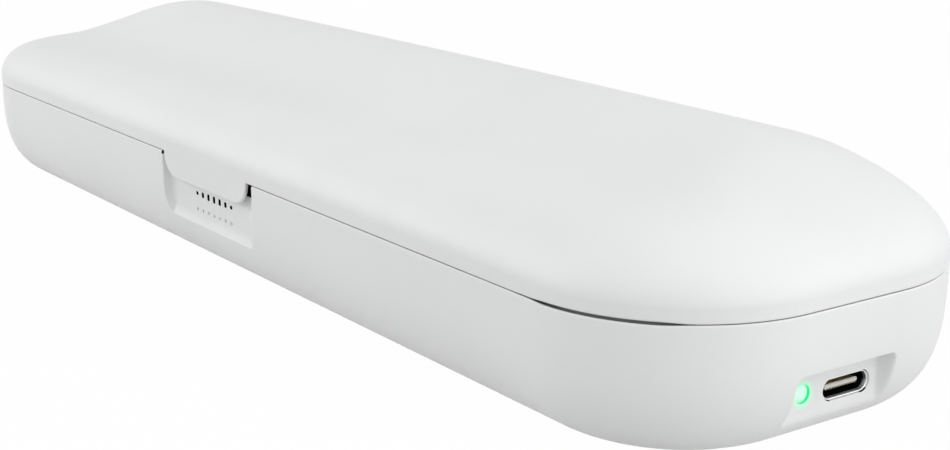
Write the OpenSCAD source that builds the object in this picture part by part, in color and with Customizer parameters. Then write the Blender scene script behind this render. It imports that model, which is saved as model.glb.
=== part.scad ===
// Charging travel case for an electric toothbrush: lower case, hinged lid, tray and socket end.
// Millimetres. +X points to the socket end, -Y is the front with the lid tab, +Z is up.
// The origin is the middle of the flat underside.

/* [Outline] */
// Length of the case over both ends
case_len = 239; // [234:1:246]
// Width of the case over the two long sides
case_w = 68; // [67:0.5:71]
// Height of the seam between lower case and lid
seam_z = 20.9; // [20.5:0.1:22.5]
// Plan radius of the two corners at the socket end
near_r = 25; // [22:0.5:26.5]
// Plan radius of the two corners at the far end
far_r = 29.2; // [27:0.2:30]
// Wall of the lower case and of the lid
wall = 2.2; // [2:0.1:2.4]
// Floor of the lower case
floor_t = 2; // [1.6:0.1:2.4]
// Open gap of the seam line
seam_gap = 0.45; // [0.35:0.05:0.6]

/* [Lower case curve] */
// How far the side curves in under the case
tuck = 15.5; // [14:0.5:16.5]
// Fullness of that curve across the side
tuck_n = 2.34; // [2.1:0.02:2.6]
// Fullness of that curve down the side
tuck_m = 3.46; // [3:0.02:3.9]

/* [Lid curve] */
// Straight lip above the seam
lip_h = 2.02; // [2.02:0.02:2.62]
// How far the rolled edge of the lid would run in from the side
roll_in = 36.7; // [34.7:0.1:38.7]
// How high the rolled edge would rise above the lip
roll_h = 20.40; // [19.40:0.01:21.40]
// Fullness of the roll across
roll_n = 1.02; // [0.92:0.01:1.22]
// Fullness of the roll at the lip
roll_m = 1.81; // [1.66:0.01:1.96]
// Height of the broad top above the lip, over the hump
top_h = 16.40; // [15.80:0.01:17.00]
// Fall of the broad top across half the width
crown_h = 0.23; // [0.10:0.01:0.83]
// Highest line of the broad top from the centre line
crown_y = 9.9; // [7.9:0.1:11.9]
// Rise of the broad top from the middle to the socket end
top_tilt = 1.27; // [0:0.01:1.77]
// Fall of the broad top from the middle to both ends
top_bow = 1.88; // [1.28:0.01:2.48]
// How far roll and broad top blend into each other
top_blend = 3.3; // [1.8:0.1:4.8]
// How far the front shelf lies below the hump
wave_drop = 7.82; // [5.82:0.01:8.82]
// Distance across the lid over which the shelf turns into the hump
wave_w = 33.0; // [29.0:0.1:37.0]
// Middle of that slope from the centre line at the far end
wave_y = 3.52; // [1.52:0.01:5.52]
// How far that slope drifts to the front by the socket end
wave_drift = 12.41; // [9.41:0.01:15.41]
// Distance from the far end at which the shelf begins to fade
fade_x = 142.0; // [122.0:0.1:162.0]
// Length over which the shelf fades out
fade_len = 204.0; // [179.0:0.5:229.0]

/* [Lid tab and finger recess] */
// Middle of the tab along the case
tab_x = 1.3; // [-4:0.1:4]
// Width of the tab
tab_w = 31.2; // [28:0.1:36]
// How far the tab hangs below the seam
tab_drop = 4.2; // [3.6:0.1:5]
// Corner radius of the tab
tab_r = 4.3; // [3:0.1:4.5]
// Thickness of the tab
tab_t = 1.25; // [1:0.05:1.4]
// Gap between the tab and the recess at each side
tab_gap = 1.1; // [0.6:0.05:1.3]
// Depth of the finger recess
recess_d = 1.6; // [1.55:0.05:1.9]
// Height of the lower edge of the recess
recess_z = 10.2; // [9.5:0.1:11]
// Radius of the scoop at the bottom of the recess
scoop_r = 2.2; // [1.8:0.1:2.6]
// Number of air slots, and of pin holes below them
vents = 7; // [5:1:9]
// Spacing of the air slots
vent_pitch = 2.13; // [1.9:0.01:2.4]
// Width of one air slot
vent_w = 1; // [0.8:0.05:1.2]
// Height of the middle slot
vent_h = 1.3; // [1.1:0.05:1.8]
// Height of the outermost slot
vent_h_end = 0.7; // [0.6:0.05:1]
// Height of the slot row above the underside
vent_z = 14.8; // [14.2:0.1:15.2]
// Height of the pin hole row above the underside
dot_z = 11.9; // [11.7:0.1:12.4]
// Diameter of one pin hole
dot_d = 0.7; // [0.5:0.05:0.9]
// Height of the slit behind each side gap of the tab, down from the rim
slit_h = 2.6; // [2.2:0.1:3.4]
// Depth of that slit behind the recess
slit_d = 1.2; // [0.8:0.05:1.3]

/* [Socket end] */
// Depth of the end recess behind the end face
end_d = 2.95; // [2.6:0.05:3.2]
// Width of the end recess
end_w = 18.4; // [17:0.1:19.5]
// Middle of the end recess across the case
end_y = -0.2; // [-0.6:0.05:0.2]
// Height of the top edge of the end recess
end_z = 12.5; // [12:0.1:13]
// Socket centre across the case
usb_y = 2; // [1.6:0.1:2.4]
// Socket centre above the underside
usb_z = 8.2; // [8:0.1:8.6]
// Outside width of the metal socket shell, the standard 8.94
usb_w = 8.94; // [8.94:0.01:8.94]
// Outside height of the metal socket shell, the standard 3.16
usb_h = 3.16; // [3.16:0.01:3.16]
// Length of the socket shell
usb_len = 7.35; // [6.9:0.05:8]
// Air round the socket shell in its hole
usb_air = 0.08; // [0.04:0.02:0.12]
// Status light centre across the case
light_y = -6.3; // [-6.5:0.1:-6]
// Status light centre above the underside
light_z = 8.7; // [8.4:0.1:9]
// Status light hole diameter
light_d = 3; // [2.6:0.1:3.2]

/* [Hinge] */
// Distance of each hinge from its end of the case
hinge_end = 59.5; // [50:0.5:70]
// Hinge axis behind the back wall
hinge_out = 1; // [0.9:0.05:1.2]
// Knuckle radius
knuckle_r = 2.4; // [2.2:0.05:2.5]
// Pin radius
pin_r = 0.9; // [0.7:0.05:1]
// Width of the lid knuckle
lid_kn = 12; // [9:0.5:16]
// Width of each case knuckle
base_kn = 5; // [4:0.5:7]
// Side gap between knuckles
kn_gap = 0.3; // [0.2:0.05:0.4]
// Running clearance of the pin in the lid knuckle, radial
run_gap = 0.06; // [0.02:0.01:0.1]
// Air between a knuckle and the wall cut round it
kn_air = 0.3; // [0.2:0.05:0.4]

/* [Tray] */
// Deck of the tray below the seam
deck_drop = 1.5; // [1.3:0.1:2]
// Thickness of the tray
tray_t = 1.3; // [1.1:0.1:1.5]
// Height of the ridge that the lid closes over, above the deck
ridge_h = 3.1; // [2.5:0.1:3.2]
// Radius of the handle cradle
cradle_r = 15; // [14.5:0.1:15.2]
// Cradle centre across the case
cradle_y = 11; // [10:0.1:11.5]
// Cradle end wall from the socket end of the case
cradle_near = 27.2; // [27:0.1:28]
// Start of the full-width cradle from the far end of the case
cradle_far = 27.3; // [27.2:0.1:30]
// Radius of the shaft channel at the far end
nose_r = 5.5; // [4.5:0.1:5.8]
// Length of the shaft channel
nose_len = 14; // [10:0.5:16]
// Width of a brush head pocket
pocket_w = 18.8; // [17.5:0.1:19.2]
// Far pocket from the far end of the case
pocket_far = 29.5; // [28:0.5:32]
// Near pocket from the socket end of the case
pocket_near = 33.5; // [32:0.5:36]
// Solid deck between the two pockets
pocket_gap = 22; // [21:0.5:26]
// Corner radius of a brush head pocket
pocket_r = 6; // [3:0.5:8]
// Inside floor height of a brush head pocket
pocket_z = 8.6; // [8.4:0.1:9.4]
// Diameter of the peg a brush head is pushed on to
peg_d = 3.8; // [3:0.1:4.4]
// Length of that peg
peg_len = 12; // [8:0.5:16]
// Diameter of the collar the peg stands on
collar_d = 7.4; // [6:0.2:8]
// Height of the peg above the pocket floor
peg_up = 6.5; // [5.6:0.1:7]
// Thickness of a soft saddle in the cradle
saddle_t = 0.64; // [0.5:0.02:0.8]
// Width of a saddle along the case
saddle_w = 10; // [8:0.5:12]
// Far saddle from the start of the cradle
saddle_far = 34.2; // [30:0.5:40]
// Near saddle from the end wall of the cradle
saddle_near = 52.3; // [48:0.5:56]

/* [Lid inside] */
// Thickness of the liner
liner_t = 1; // [0.8:0.1:1.2]
// Far pad from the start of the cradle
pad_far = 40.2; // [36:0.5:46]
// Near pad from the end wall of the cradle
pad_near = 66.3; // [60:0.5:70]
// Length of a pad along the case
pad_len = 18; // [14:1:24]
// Width of a pad across the case
pad_w = 10; // [8:0.5:12]

/* [Screws] */
// Case screws from the two ends
screw_end = 22.5; // [21.5:0.5:23]
// Case screws from the two long sides
screw_side = 13; // [12.6:0.1:13.2]
// Case screw shaft radius
screw_r = 1; // [0.9:0.05:1.1]
// Case screw head radius
head_r = 2.1; // [1.9:0.05:2.15]

/* [Charging] */
// Radius of the charging nub
nub_r = 4.6; // [4.4:0.1:5]
// Length of the charging nub
nub_len = 8; // [6:0.5:10]
// Thickness of the charging housing along the case
housing_t = 10.2; // [10.2:0.1:11]
// Radius of the charging housing above the deck
housing_r = 12.5; // [12:0.1:13]
// Wall of the charging housing
housing_wall = 1.2; // [1:0.1:1.4]
// Radius of the charging coil
coil_r = 10.2; // [9.4:0.1:10.4]
// Thickness of the charging coil
coil_t = 4.8; // [4:0.1:5]
// Thickness of the ferrite disc behind the coil
disc_t = 1.2; // [1:0.1:1.4]
// Distance between the two coil leads
lead_gap = 6; // [5:0.5:7]
// Radius of a coil lead
lead_r = 0.4; // [0.3:0.05:0.5]

/* [Board] */
// Thickness of the circuit board
board_t = 1; // [0.8:0.1:1.2]
// Board from the end wall of the cradle
board_gap = 3.9; // [3.6:0.1:4.4]
// Board edge towards the front
board_front = 12; // [11:0.5:12.5]
// Board edge towards the back
board_back = 15; // [13.5:0.5:15.5]
// Corner cut of the board
board_cut = 5.5; // [4:0.5:6]
// Board screws from the board's edge
board_screw = 2.6; // [2.4:0.1:3]
// Height of a chip
chip_h = 0.9; // [0.7:0.1:1.2]

/* [Magnets] */
// Length of a magnet
magnet_len = 8; // [6:0.5:9]
// Height of a case magnet
magnet_h = 2.2; // [1.6:0.1:2.4]
// Thickness of a case magnet
magnet_t = 2.6; // [2:0.1:2.8]
// Distance between the two magnets
magnet_gap = 12; // [11:0.5:16]

/* [Hidden] */
$fn = 48;
eps = 0.02;
hl = case_len / 2;
hw = case_w / 2;
base_top = seam_z - seam_gap / 2;
lid_bot = seam_z + seam_gap / 2;
lip_z = seam_z + lip_h;
cover_in = 0.45 * hw;
hinge_y = hw + hinge_out;
deck_z = seam_z - deck_drop;
hinge_x = hl - hinge_end;
screw_x = hl - screw_end;
screw_y = hw - screw_side;
ridge_in = wall + 0.4;
ridge_t = 1.2;
liner_in = wall + 2.7;
liner_v = wall + 0.6;
flange_t = 0.8;
flange_z = deck_z + ridge_h + 0.4;
recess_y = -hw + recess_d;
pad_y = recess_y + 2;
pad_a = tab_w / 2 + 3.3;
floor_x = hl - end_d;
cradle_x0 = cradle_far - hl;
cradle_x1 = hl - cradle_near;
pocket_len = (case_len - pocket_far - pocket_near - pocket_gap) / 2;
pocket_y = -hw + 6.7 + pocket_w / 2;
pocket_ax = pocket_far - hl + pocket_len / 2;
pocket_bx = hl - pocket_near - pocket_len / 2;
peg_z = pocket_z + peg_up;
board_z = usb_z - usb_h / 2 - board_t;
board_top = board_z + board_t;
board_x0 = cradle_x1 + board_gap;
board_x1 = floor_x - 3;
housing_x = cradle_x1 - housing_t - 0.2;
core_x = housing_x + housing_wall;
lead_z = deck_z - coil_r + 1.8;
boss_r = head_r + 1.1;
boss_z = 8;
magnet_y = pad_y + magnet_t;
pad_xs = [cradle_x0 + pad_far, cradle_x1 - pad_near];
saddle_xs = [cradle_x0 + saddle_far, cradle_x1 - saddle_near];
board_screw_y = [4 - board_front, board_back - 4];

// Smooth step from 0 to 1 with level ends
function smooth(t) = let (c = min(max(t, 0), 1)) c * c * c * (c * (c * 6 - 15) + 10);

// Plan radius left at an inset d from an outline corner of radius r
function ring_r(r, d) = max(r - d, 0.5 * (hw - d));

// Points of one corner arc: centre, radius, first angle, number of steps
function arc(cx, cy, r, a, n) = [for (i = [0:n]) [cx + r * cos(a + 90 * i / n), cy + r * sin(a + 90 * i / n)]];

// Points strictly between two points
function between(p, q, n) = n < 2 ? [] : [for (i = [1:n - 1]) p + (q - p) * i / n];

// Rounded outline at inset d: na steps per corner, nl per long side
function outline(d, na, nl) =
    let (rn = ring_r(near_r, d), rf = ring_r(far_r, d), x = hl - d, y = hw - d,
         a = arc(x - rn, y - rn, rn, 0, na), b = arc(-x + rf, y - rf, rf, 90, na),
         c = arc(-x + rf, -y + rf, rf, 180, na), e = arc(x - rn, -y + rn, rn, 270, na))
    concat(a, between(a[na], b[0], nl), b, c, between(c[na], e[0], nl), e);

// Lower case curve: inset and height for the angle t, from the rim at 0 to the flat bottom at 90
function tuck_in(t, b) = b * (1 - pow(cos(t), 2 / tuck_n));
function tuck_z(t, h) = h * (1 - pow(sin(t), 2 / tuck_m));

// Lower of two heights, blended where they are near each other
function lower(a, b) = min(a, b) - pow(max(top_blend - abs(a - b), 0), 2) / (4 * top_blend);

// Rolled edge of the lid: height above the lip at the inset d
function roll(d) = roll_h * pow(1 - pow(1 - min(d / roll_in, 1), roll_n), 1 / roll_m);

// Broad top of the lid above the lip: the front shelf lies low and fades to the socket end
function crest(x, y) =
    let (mid = wave_y - wave_drift * (x + hl) / case_len,
         s = 1 - smooth((y - mid + wave_w / 2) / wave_w),
         f = 1 - smooth((x + hl - fade_x) / fade_len))
    top_h + top_tilt * x / hl - top_bow * pow(x / hl, 2)
        - crown_h * pow((y - crown_y) / hw, 2) - wave_drop * s * f;

// Share of a skin's drop at the inset d: none at the side, all of it from cover_in inwards
function cover(d) = sqrt(1 - pow(1 - min(d / cover_in, 1), 2));

base_ts = [90, 78, 66, 53, 41, 30, 20, 11, 5, 1.5, 0];
lid_ds = [0, 0.15, 0.5, 1.2, 2.4, 4.2, 6.8, 10, 14, 18.5, 22.5, 26, 29, 31.3, 33.2];
liner_ds = [0, 0.6, 2.6, 6.8, 12, 18.5, 24, 29, 33.2];

// One ring of the lid at the inset d, moved in by o and down by v
function lid_ring(d, o, v, na, nl) =
    [for (p = outline(d + o * (1 - d / hw), na, nl))
        [p.x, p.y, lip_z + lower(roll(min(d, hw)), crest(p.x, p.y)) - v * cover(d)]];

// Solid through a stack of rings, lowest first; bend is for rings that aren't level
module stack(rings, na, nl, bend) {
    n = len(rings[0]);
    m = len(rings);
    e = 2 * na + nl;
    t = (m - 1) * n;
    pts = [for (r = rings) each r];
    sides = [for (j = [0:m - 2], i = [0:n - 1])
        let (a = j * n + i, b = j * n + (i + 1) % n) each bend
            ? [[a, a + n, b + n], [a, b + n, b]]
            : [[a, a + n, b + n, b]]];
    under = [[for (i = [0:n - 1]) i]];
    over = bend
        ? [for (i = [0:e - 1]) each [[t + i, t + n - 1 - i, t + n - 2 - i], [t + i, t + n - 2 - i, t + i + 1]]]
        : [[for (i = [0:n - 1]) t + n - 1 - i]];
    polyhedron(points = pts, faces = concat(sides, under, over));
}

// Lower case body filled solid, moved in by o, from the height z0, with e added on top
module base_fill(o, z0, e) {
    rings = [for (t = base_ts)
        [for (p = outline(o + tuck_in(t, tuck - 0.6 * o), 12, 1))
            [p.x, p.y, z0 + tuck_z(t, base_top - z0)]]];
    lift = [for (p = outline(o, 12, 1)) [p.x, p.y, base_top + e]];
    stack(e > 0 ? concat(rings, [lift]) : rings, 12, 1, false);
}

// Lid body filled solid, moved in by o and down by v, from the height z0, with a ring at each inset in ds
module lid_fill(o, v, z0, ds, na) {
    foot = [for (p = outline(o, na, 9)) [p.x, p.y, z0]];
    stack(concat([foot], [for (d = ds) lid_ring(d, o, v, na, 9)]), na, 9, true);
}

// Flat rounded outline at inset d with true arcs
module plan(d) {
    x = hl - d;
    y = hw - d;
    rn = near_r - d;
    rf = far_r - d;
    translate([-x + rf, -y]) square([2 * x - rn - rf, 2 * y]);
    translate([-x, -y + rf]) square([rf + 1, 2 * y - 2 * rf]);
    translate([x - rn - 1, -y + rn]) square([rn + 1, 2 * y - 2 * rn]);
    for (s = [-1, 1]) {
        translate([x - rn, s * (y - rn)]) circle(rn, $fn = 96);
        translate([-x + rf, s * (y - rf)]) circle(rf, $fn = 96);
    }
}

// Flat rounded rectangle with true arcs, centred
module soft_rect(a, b, r) {
    square([a - 2 * r, b], center = true);
    square([a, b - 2 * r], center = true);
    for (i = [-1, 1], j = [-1, 1]) translate([i * (a / 2 - r), j * (b / 2 - r)]) circle(r);
}

// Box between two corners
module block(p, q) {
    translate(p) cube(q - p);
}

// Round bar along X from x0 to x1
module bar_x(x0, x1, y, z, r) {
    translate([x0, y, z]) rotate([0, 90, 0]) cylinder(r = r, h = x1 - x0);
}

// Round-ended slot bar along X, w across, h high
module slot_x(x0, x1, y, z, w, h) {
    block([x0, y - w / 2 + h / 2, z - h / 2], [x1, y + w / 2 - h / 2, z + h / 2]);
    for (s = [-1, 1]) bar_x(x0, x1, y + s * (w - h) / 2, z, h / 2);
}

// Upright outline in the XZ plane, pushed from y0 to y1
module wall_cut(y0, y1) {
    translate([0, y1, 0]) rotate([90, 0, 0]) linear_extrude(y1 - y0) children();
}

// Side profile in the YZ plane, pushed along X
module side_cut(x0, x1) {
    translate([x0, 0, 0]) rotate([90, 0, 90]) linear_extrude(x1 - x0) children();
}

// Rounded tab outline: half width a, lower edge z0, corner radius r, up to z1
module tab_shape(a, z0, r, z1) {
    translate([tab_x, 0]) {
        translate([-a, z0 + r]) square([2 * a, z1 - z0 - r]);
        translate([-a + r, z0]) square([2 * (a - r), r + 1]);
        for (s = [-1, 1]) translate([s * (a - r), z0 + r]) circle(r);
    }
}

// Finger recess: the tab outline crossed with a scooped side profile
module finger_recess() {
    a = tab_w / 2 + tab_gap;
    zc = recess_z + scoop_r + 0.2;
    intersection() {
        wall_cut(-hw - 2, recess_y + 1) tab_shape(a, recess_z - 0.2, 4, seam_z + 2);
        side_cut(tab_x - a - 1, tab_x + a + 1) union() {
            translate([-hw - 3, zc]) square([recess_y + hw + 3, seam_z + 3 - zc]);
            translate([recess_y - scoop_r, zc]) circle(scoop_r, $fn = 64);
            translate([-hw - 3, zc - scoop_r]) square([recess_y - scoop_r + hw + 3, scoop_r + 1]);
        }
    }
}

// Slits in the rim behind the side gaps of the tab
module side_slits() {
    a = tab_w / 2 + 0.1;
    for (s = [-1, 1]) translate([tab_x + s * (a + (tab_gap - 0.1) / 2), 0])
        block([-(tab_gap - 0.1) / 2, recess_y - 1, base_top - slit_h],
              [(tab_gap - 0.1) / 2, recess_y + slit_d, base_top + 1]);
}

// Air slots and pin holes through the recess floor
module vent_cuts() {
    c = (vents - 1) / 2;
    for (i = [0:vents - 1]) {
        x = tab_x + (i - c) * vent_pitch;
        h = vent_h_end + (vent_h - vent_h_end) * (1 - pow((i - c) / c, 2));
        block([x - vent_w / 2, recess_y - 1, vent_z - h / 2], [x + vent_w / 2, pad_y + 1, vent_z + h / 2]);
        translate([x, recess_y - 2.4, dot_z]) rotate([-90, 0, 0]) cylinder(r = dot_d / 2, h = 5.6, $fn = 24);
    }
}

// End recess of the socket
module end_recess() {
    difference() {
        block([floor_x, end_y - end_w / 2, -1], [hl + 1, end_y + end_w / 2, end_z]);
        for (s = [-1, 1]) difference() {
            block([floor_x - 1, end_y + s * end_w / 2 - 1.5, end_z - 1.5],
                  [hl + 2, end_y + s * end_w / 2 + 1.5, end_z + 1]);
            bar_x(floor_x - 2, hl + 3, end_y + s * (end_w / 2 - 1.5), end_z - 1.5, 1.5);
            block([floor_x - 2, end_y - end_w / 2 + 1.5, end_z - 3],
                  [hl + 3, end_y + end_w / 2 - 1.5, end_z + 2]);
        }
    }
}

// One knuckle with its web: side +1 reaches up into the lid, -1 down into the case
module knuckle(x0, x1, side, foot_z, foot_y) {
    bar_x(x0, x1, hinge_y, seam_z, knuckle_r);
    side_cut(x0, x1) polygon([
        [hw - 1.6, seam_z + side * seam_gap / 2], [hinge_y, seam_z + side * seam_gap / 2],
        [hinge_y + knuckle_r * cos(18), seam_z + side * knuckle_r * sin(18)],
        [foot_y, foot_z], [hw - 1.6, foot_z]]);
}

module at_hinges() {
    for (s = [-1, 1]) translate([s * hinge_x, 0, 0]) children();
}

module at_screws() {
    for (i = [-1, 1], j = [-1, 1]) translate([i * screw_x, j * screw_y, 0]) children();
}

module at_magnets() {
    for (s = [-1, 1]) translate([tab_x + s * magnet_gap / 2, magnet_y, 0]) children();
}

module at_leads() {
    for (s = [-1, 1]) translate([0, cradle_y + s * lead_gap / 2, lead_z]) children();
}

module base_shell() {
    k0 = lid_kn / 2 + kn_gap;
    k1 = k0 + base_kn;
    color("white") difference() {
        union() {
            difference() {
                base_fill(0, 0, 0);
                base_fill(wall, floor_t, 2);
            }
            intersection() {
                base_fill(0, 0, 0);
                union() {
                    block([floor_x - 2, end_y - end_w / 2 - 2, 0], [hl, end_y + end_w / 2 + 2, end_z + 2]);
                    block([tab_x - pad_a + 0.3, -hw, recess_z - 3], [tab_x + pad_a - 0.3, pad_y, base_top]);
                    at_screws() cylinder(r = boss_r, h = boss_z);
                    for (y = board_screw_y)
                        translate([board_x0 + board_screw, y, 0]) cylinder(r = 2.3, h = board_z);
                }
            }
            at_hinges() {
                knuckle(-k1, -k0, -1, seam_z - 6.3, hw - 0.25);
                knuckle(k0, k1, -1, seam_z - 6.3, hw - 0.25);
            }
        }
        finger_recess();
        side_slits();
        vent_cuts();
        end_recess();
        slot_x(floor_x - 4, floor_x + 1, usb_y, usb_z, usb_w + 2 * usb_air, usb_h + 2 * usb_air);
        bar_x(floor_x - 4, floor_x + 1, light_y, light_z, light_d / 2);
        at_hinges() {
            bar_x(-k0, k0, hinge_y, seam_z, knuckle_r + kn_air);
            bar_x(-k1 - 1, k1 + 1, hinge_y, seam_z, pin_r + eps);
        }
        at_screws() {
            translate([0, 0, -1]) cylinder(r = head_r + 0.05, h = 5);
            cylinder(r = screw_r + eps, h = boss_z + 1);
        }
        for (y = board_screw_y) translate([board_x0 + board_screw, y, board_z - 3]) cylinder(r = 0.87, h = 4);
    }
}

module base_tray() {
    color("gainsboro") difference() {
        union() {
            translate([0, 0, deck_z - tray_t]) linear_extrude(tray_t) plan(ridge_in);
            translate([0, 0, deck_z - tray_t]) linear_extrude(ridge_h + tray_t) difference() {
                plan(ridge_in);
                plan(ridge_in + ridge_t);
            }
            intersection() {
                union() {
                    bar_x(cradle_x0 - tray_t, cradle_x1 + tray_t, cradle_y, deck_z, cradle_r + tray_t);
                    bar_x(cradle_x0 - nose_len - tray_t, cradle_x0, cradle_y, deck_z, nose_r + tray_t);
                }
                block([-hl, -hw, 0], [hl, hw, deck_z]);
            }
            for (x = [pocket_ax, pocket_bx]) translate([x, pocket_y, pocket_z - tray_t])
                linear_extrude(deck_z - pocket_z + tray_t)
                    soft_rect(pocket_len + 2 * tray_t, pocket_w + 2 * tray_t, pocket_r + tray_t);
            at_screws() translate([0, 0, boss_z]) cylinder(r = boss_r - 0.2, h = deck_z - boss_z - eps);
            block([tab_x - (magnet_gap + magnet_len) / 2 - 1.6, pad_y + 0.3, deck_z - tray_t - magnet_h - 0.3],
                  [tab_x + (magnet_gap + magnet_len) / 2 + 1.6, magnet_y + magnet_t / 2 + 0.7, deck_z - eps]);
            block([tab_x - pad_a - 2, pad_y + 0.3, deck_z - tray_t],
                  [tab_x + pad_a + 2, pad_y + 0.3 + ridge_t, deck_z + ridge_h]);
        }
        block([tab_x - pad_a, -hw, 0], [tab_x + pad_a, pad_y + 0.3, seam_z + 20]);
        bar_x(cradle_x0, cradle_x1, cradle_y, deck_z, cradle_r);
        bar_x(cradle_x0 - nose_len, cradle_x0 + 1, cradle_y, deck_z, nose_r);
        for (x = [pocket_ax, pocket_bx]) translate([x, pocket_y, pocket_z])
            linear_extrude(deck_z) soft_rect(pocket_len, pocket_w, pocket_r);
        at_screws() translate([0, 0, boss_z - 1]) cylinder(r = screw_r + eps, h = 7.5);
        at_magnets() block([-magnet_len / 2 - 0.05, -magnet_t / 2 - 0.05, 0],
                           [magnet_len / 2 + 0.05, magnet_t / 2 + 0.05, deck_z - tray_t]);
        at_leads() bar_x(cradle_x1 - 1, cradle_x1 + 3, 0, 0, lead_r + 0.3);
    }
}

module hinge_pins() {
    k1 = lid_kn / 2 + kn_gap + base_kn;
    color("silver") at_hinges() bar_x(-k1 + 0.4, k1 - 0.4, hinge_y, seam_z, pin_r);
}

module case_screws() {
    color("silver") at_screws() difference() {
        union() {
            translate([0, 0, 4 - 1.4]) cylinder(r = head_r, h = 1.4);
            translate([0, 0, 3.9]) cylinder(r = screw_r, h = 10.3);
        }
        for (a = [0, 90]) rotate(a) block([-1.2, -0.3, 2], [1.2, 0.3, 3.2]);
    }
}

module screw_covers() {
    color("white") at_screws() translate([0, 0, 0.35]) difference() {
        cylinder(r = head_r, h = 1.2);
        translate([head_r - 0.5, 0, -0.1]) cylinder(r = 0.35, h = 0.6, $fn = 24);
    }
}

module head_pegs() {
    color("whitesmoke") for (x = [pocket_ax, pocket_bx]) {
        x0 = x - pocket_len / 2;
        bar_x(x0, x0 + 2.2, pocket_y, peg_z, collar_d / 2);
        bar_x(x0 + 2, x0 + 2.2 + peg_len, pocket_y, peg_z, peg_d / 2);
        translate([x0 + 2.2 + peg_len, pocket_y, peg_z]) sphere(r = peg_d / 2);
    }
}

module cradle_pads() {
    color("dimgray") for (x = saddle_xs) intersection() {
        difference() {
            bar_x(x - saddle_w / 2, x + saddle_w / 2, cradle_y, deck_z, cradle_r - 0.06);
            bar_x(x - saddle_w, x + saddle_w, cradle_y, deck_z, cradle_r - 0.06 - saddle_t);
        }
        block([x - saddle_w, cradle_y - 0.73 * cradle_r, 0],
              [x + saddle_w, cradle_y + 0.73 * cradle_r, deck_z - 0.4 * cradle_r]);
    }
}

module base_magnets() {
    color("silver") at_magnets() block([-magnet_len / 2, -magnet_t / 2, deck_z - tray_t - magnet_h - 0.1],
                                       [magnet_len / 2, magnet_t / 2, deck_z - tray_t - 0.1]);
}

module charge_housing() {
    color("whitesmoke") difference() {
        union() {
            bar_x(housing_x, cradle_x1 - 0.2, cradle_y, deck_z, housing_r);
            intersection() {
                bar_x(housing_x, cradle_x1 - 0.2, cradle_y, deck_z, cradle_r - 0.2);
                block([0, -hw, 0], [hl, hw, deck_z - 0.2]);
            }
            bar_x(housing_x - nub_len, housing_x + 1, cradle_y, deck_z, nub_r);
        }
        bar_x(core_x, cradle_x1 + 1, cradle_y, deck_z, coil_r + 0.4);
        bar_x(housing_x - nub_len + housing_wall, core_x + 1, cradle_y, deck_z, nub_r - 1);
    }
}

module charge_coil() {
    color("peru") difference() {
        bar_x(core_x + 0.2, core_x + 0.2 + coil_t, cradle_y, deck_z, coil_r);
        bar_x(core_x - 1, core_x + coil_t + 1, cradle_y, deck_z, nub_r - 0.9);
    }
}

module ferrite_core() {
    disc_x = core_x + coil_t + 0.4;
    color("dimgray") difference() {
        union() {
            bar_x(housing_x - nub_len + housing_wall + 0.3, disc_x + disc_t / 2, cradle_y, deck_z, nub_r - 1.2);
            bar_x(disc_x, disc_x + disc_t, cradle_y, deck_z, coil_r + 0.1);
        }
        at_leads() bar_x(disc_x - 1, disc_x + disc_t + 1, 0, 0, lead_r + 0.2);
    }
}

module coil_leads() {
    x1 = board_x0 + 1.2;
    drop = lead_z - board_top;
    color("firebrick") at_leads() {
        bar_x(core_x + 0.2 + coil_t, x1, 0, 0, lead_r);
        translate([x1, 0, 0]) sphere(r = lead_r, $fn = 24);
        translate([x1, 0, -drop]) cylinder(r = lead_r, h = drop);
        translate([x1, 0, -drop]) cylinder(r = 2 * lead_r, h = 0.5);
    }
}

module main_board() {
    color("darkgreen") difference() {
        translate([0, 0, board_z]) linear_extrude(board_t) polygon([
            [board_x0, -board_front], [board_x1 - board_cut, -board_front], [board_x1, board_cut - board_front],
            [board_x1, board_back - board_cut], [board_x1 - board_cut, board_back], [board_x0, board_back]]);
        for (y = board_screw_y) translate([board_x0 + board_screw, y, board_z - 1]) cylinder(r = 0.95, h = 3);
    }
}

module board_screws() {
    color("silver") for (y = board_screw_y) translate([board_x0 + board_screw, y, board_z]) difference() {
        union() {
            translate([0, 0, board_t]) cylinder(r = 1.5, h = 1);
            translate([0, 0, -2.6]) cylinder(r = 0.85, h = 3.7);
        }
        for (a = [0, 90]) rotate(a) block([-0.9, -0.2, board_t + 0.5], [0.9, 0.2, board_t + 2]);
    }
}

module charge_chips() {
    color("black") translate([board_x0, 0, board_top]) {
        block([6, -7.5, 0], [11, -2.5, chip_h]);
        block([6.5, 5.2, 0], [10.5, 9.2, chip_h]);
    }
}

module board_parts() {
    color("tan") translate([board_x0, 0, board_top]) {
        for (i = [0:3]) block([5.4 + 1.7 * i, -10.6, 0], [6.4 + 1.7 * i, -9, chip_h - 0.1]);
        for (i = [0:2]) block([6 + 2 * i, 11.2, 0], [7.2 + 2 * i, 13.2, chip_h + 0.1]);
        block([5.8, -0.6, 0], [9, 2.6, 1.8 * chip_h]);
    }
}

module status_led() {
    color("honeydew") block([floor_x - 5.6, light_y - 1, board_top], [floor_x - 4, light_y + 1, light_z + 1]);
}

module status_lens() {
    color("mediumspringgreen") union() {
        bar_x(floor_x - 3.8, floor_x - 0.5, light_y, light_z, light_d / 2 - 0.03);
        bar_x(floor_x - 3.8, floor_x - 2.1, light_y, light_z, light_d / 2 + 0.5);
    }
}

module usb_shell() {
    color("silver") difference() {
        slot_x(floor_x - 0.25 - usb_len, floor_x - 0.25, usb_y, usb_z, usb_w, usb_h);
        slot_x(floor_x - 0.25 - usb_len - 1, floor_x + 1, usb_y, usb_z, usb_w - 0.6, usb_h - 0.6);
    }
}

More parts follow.
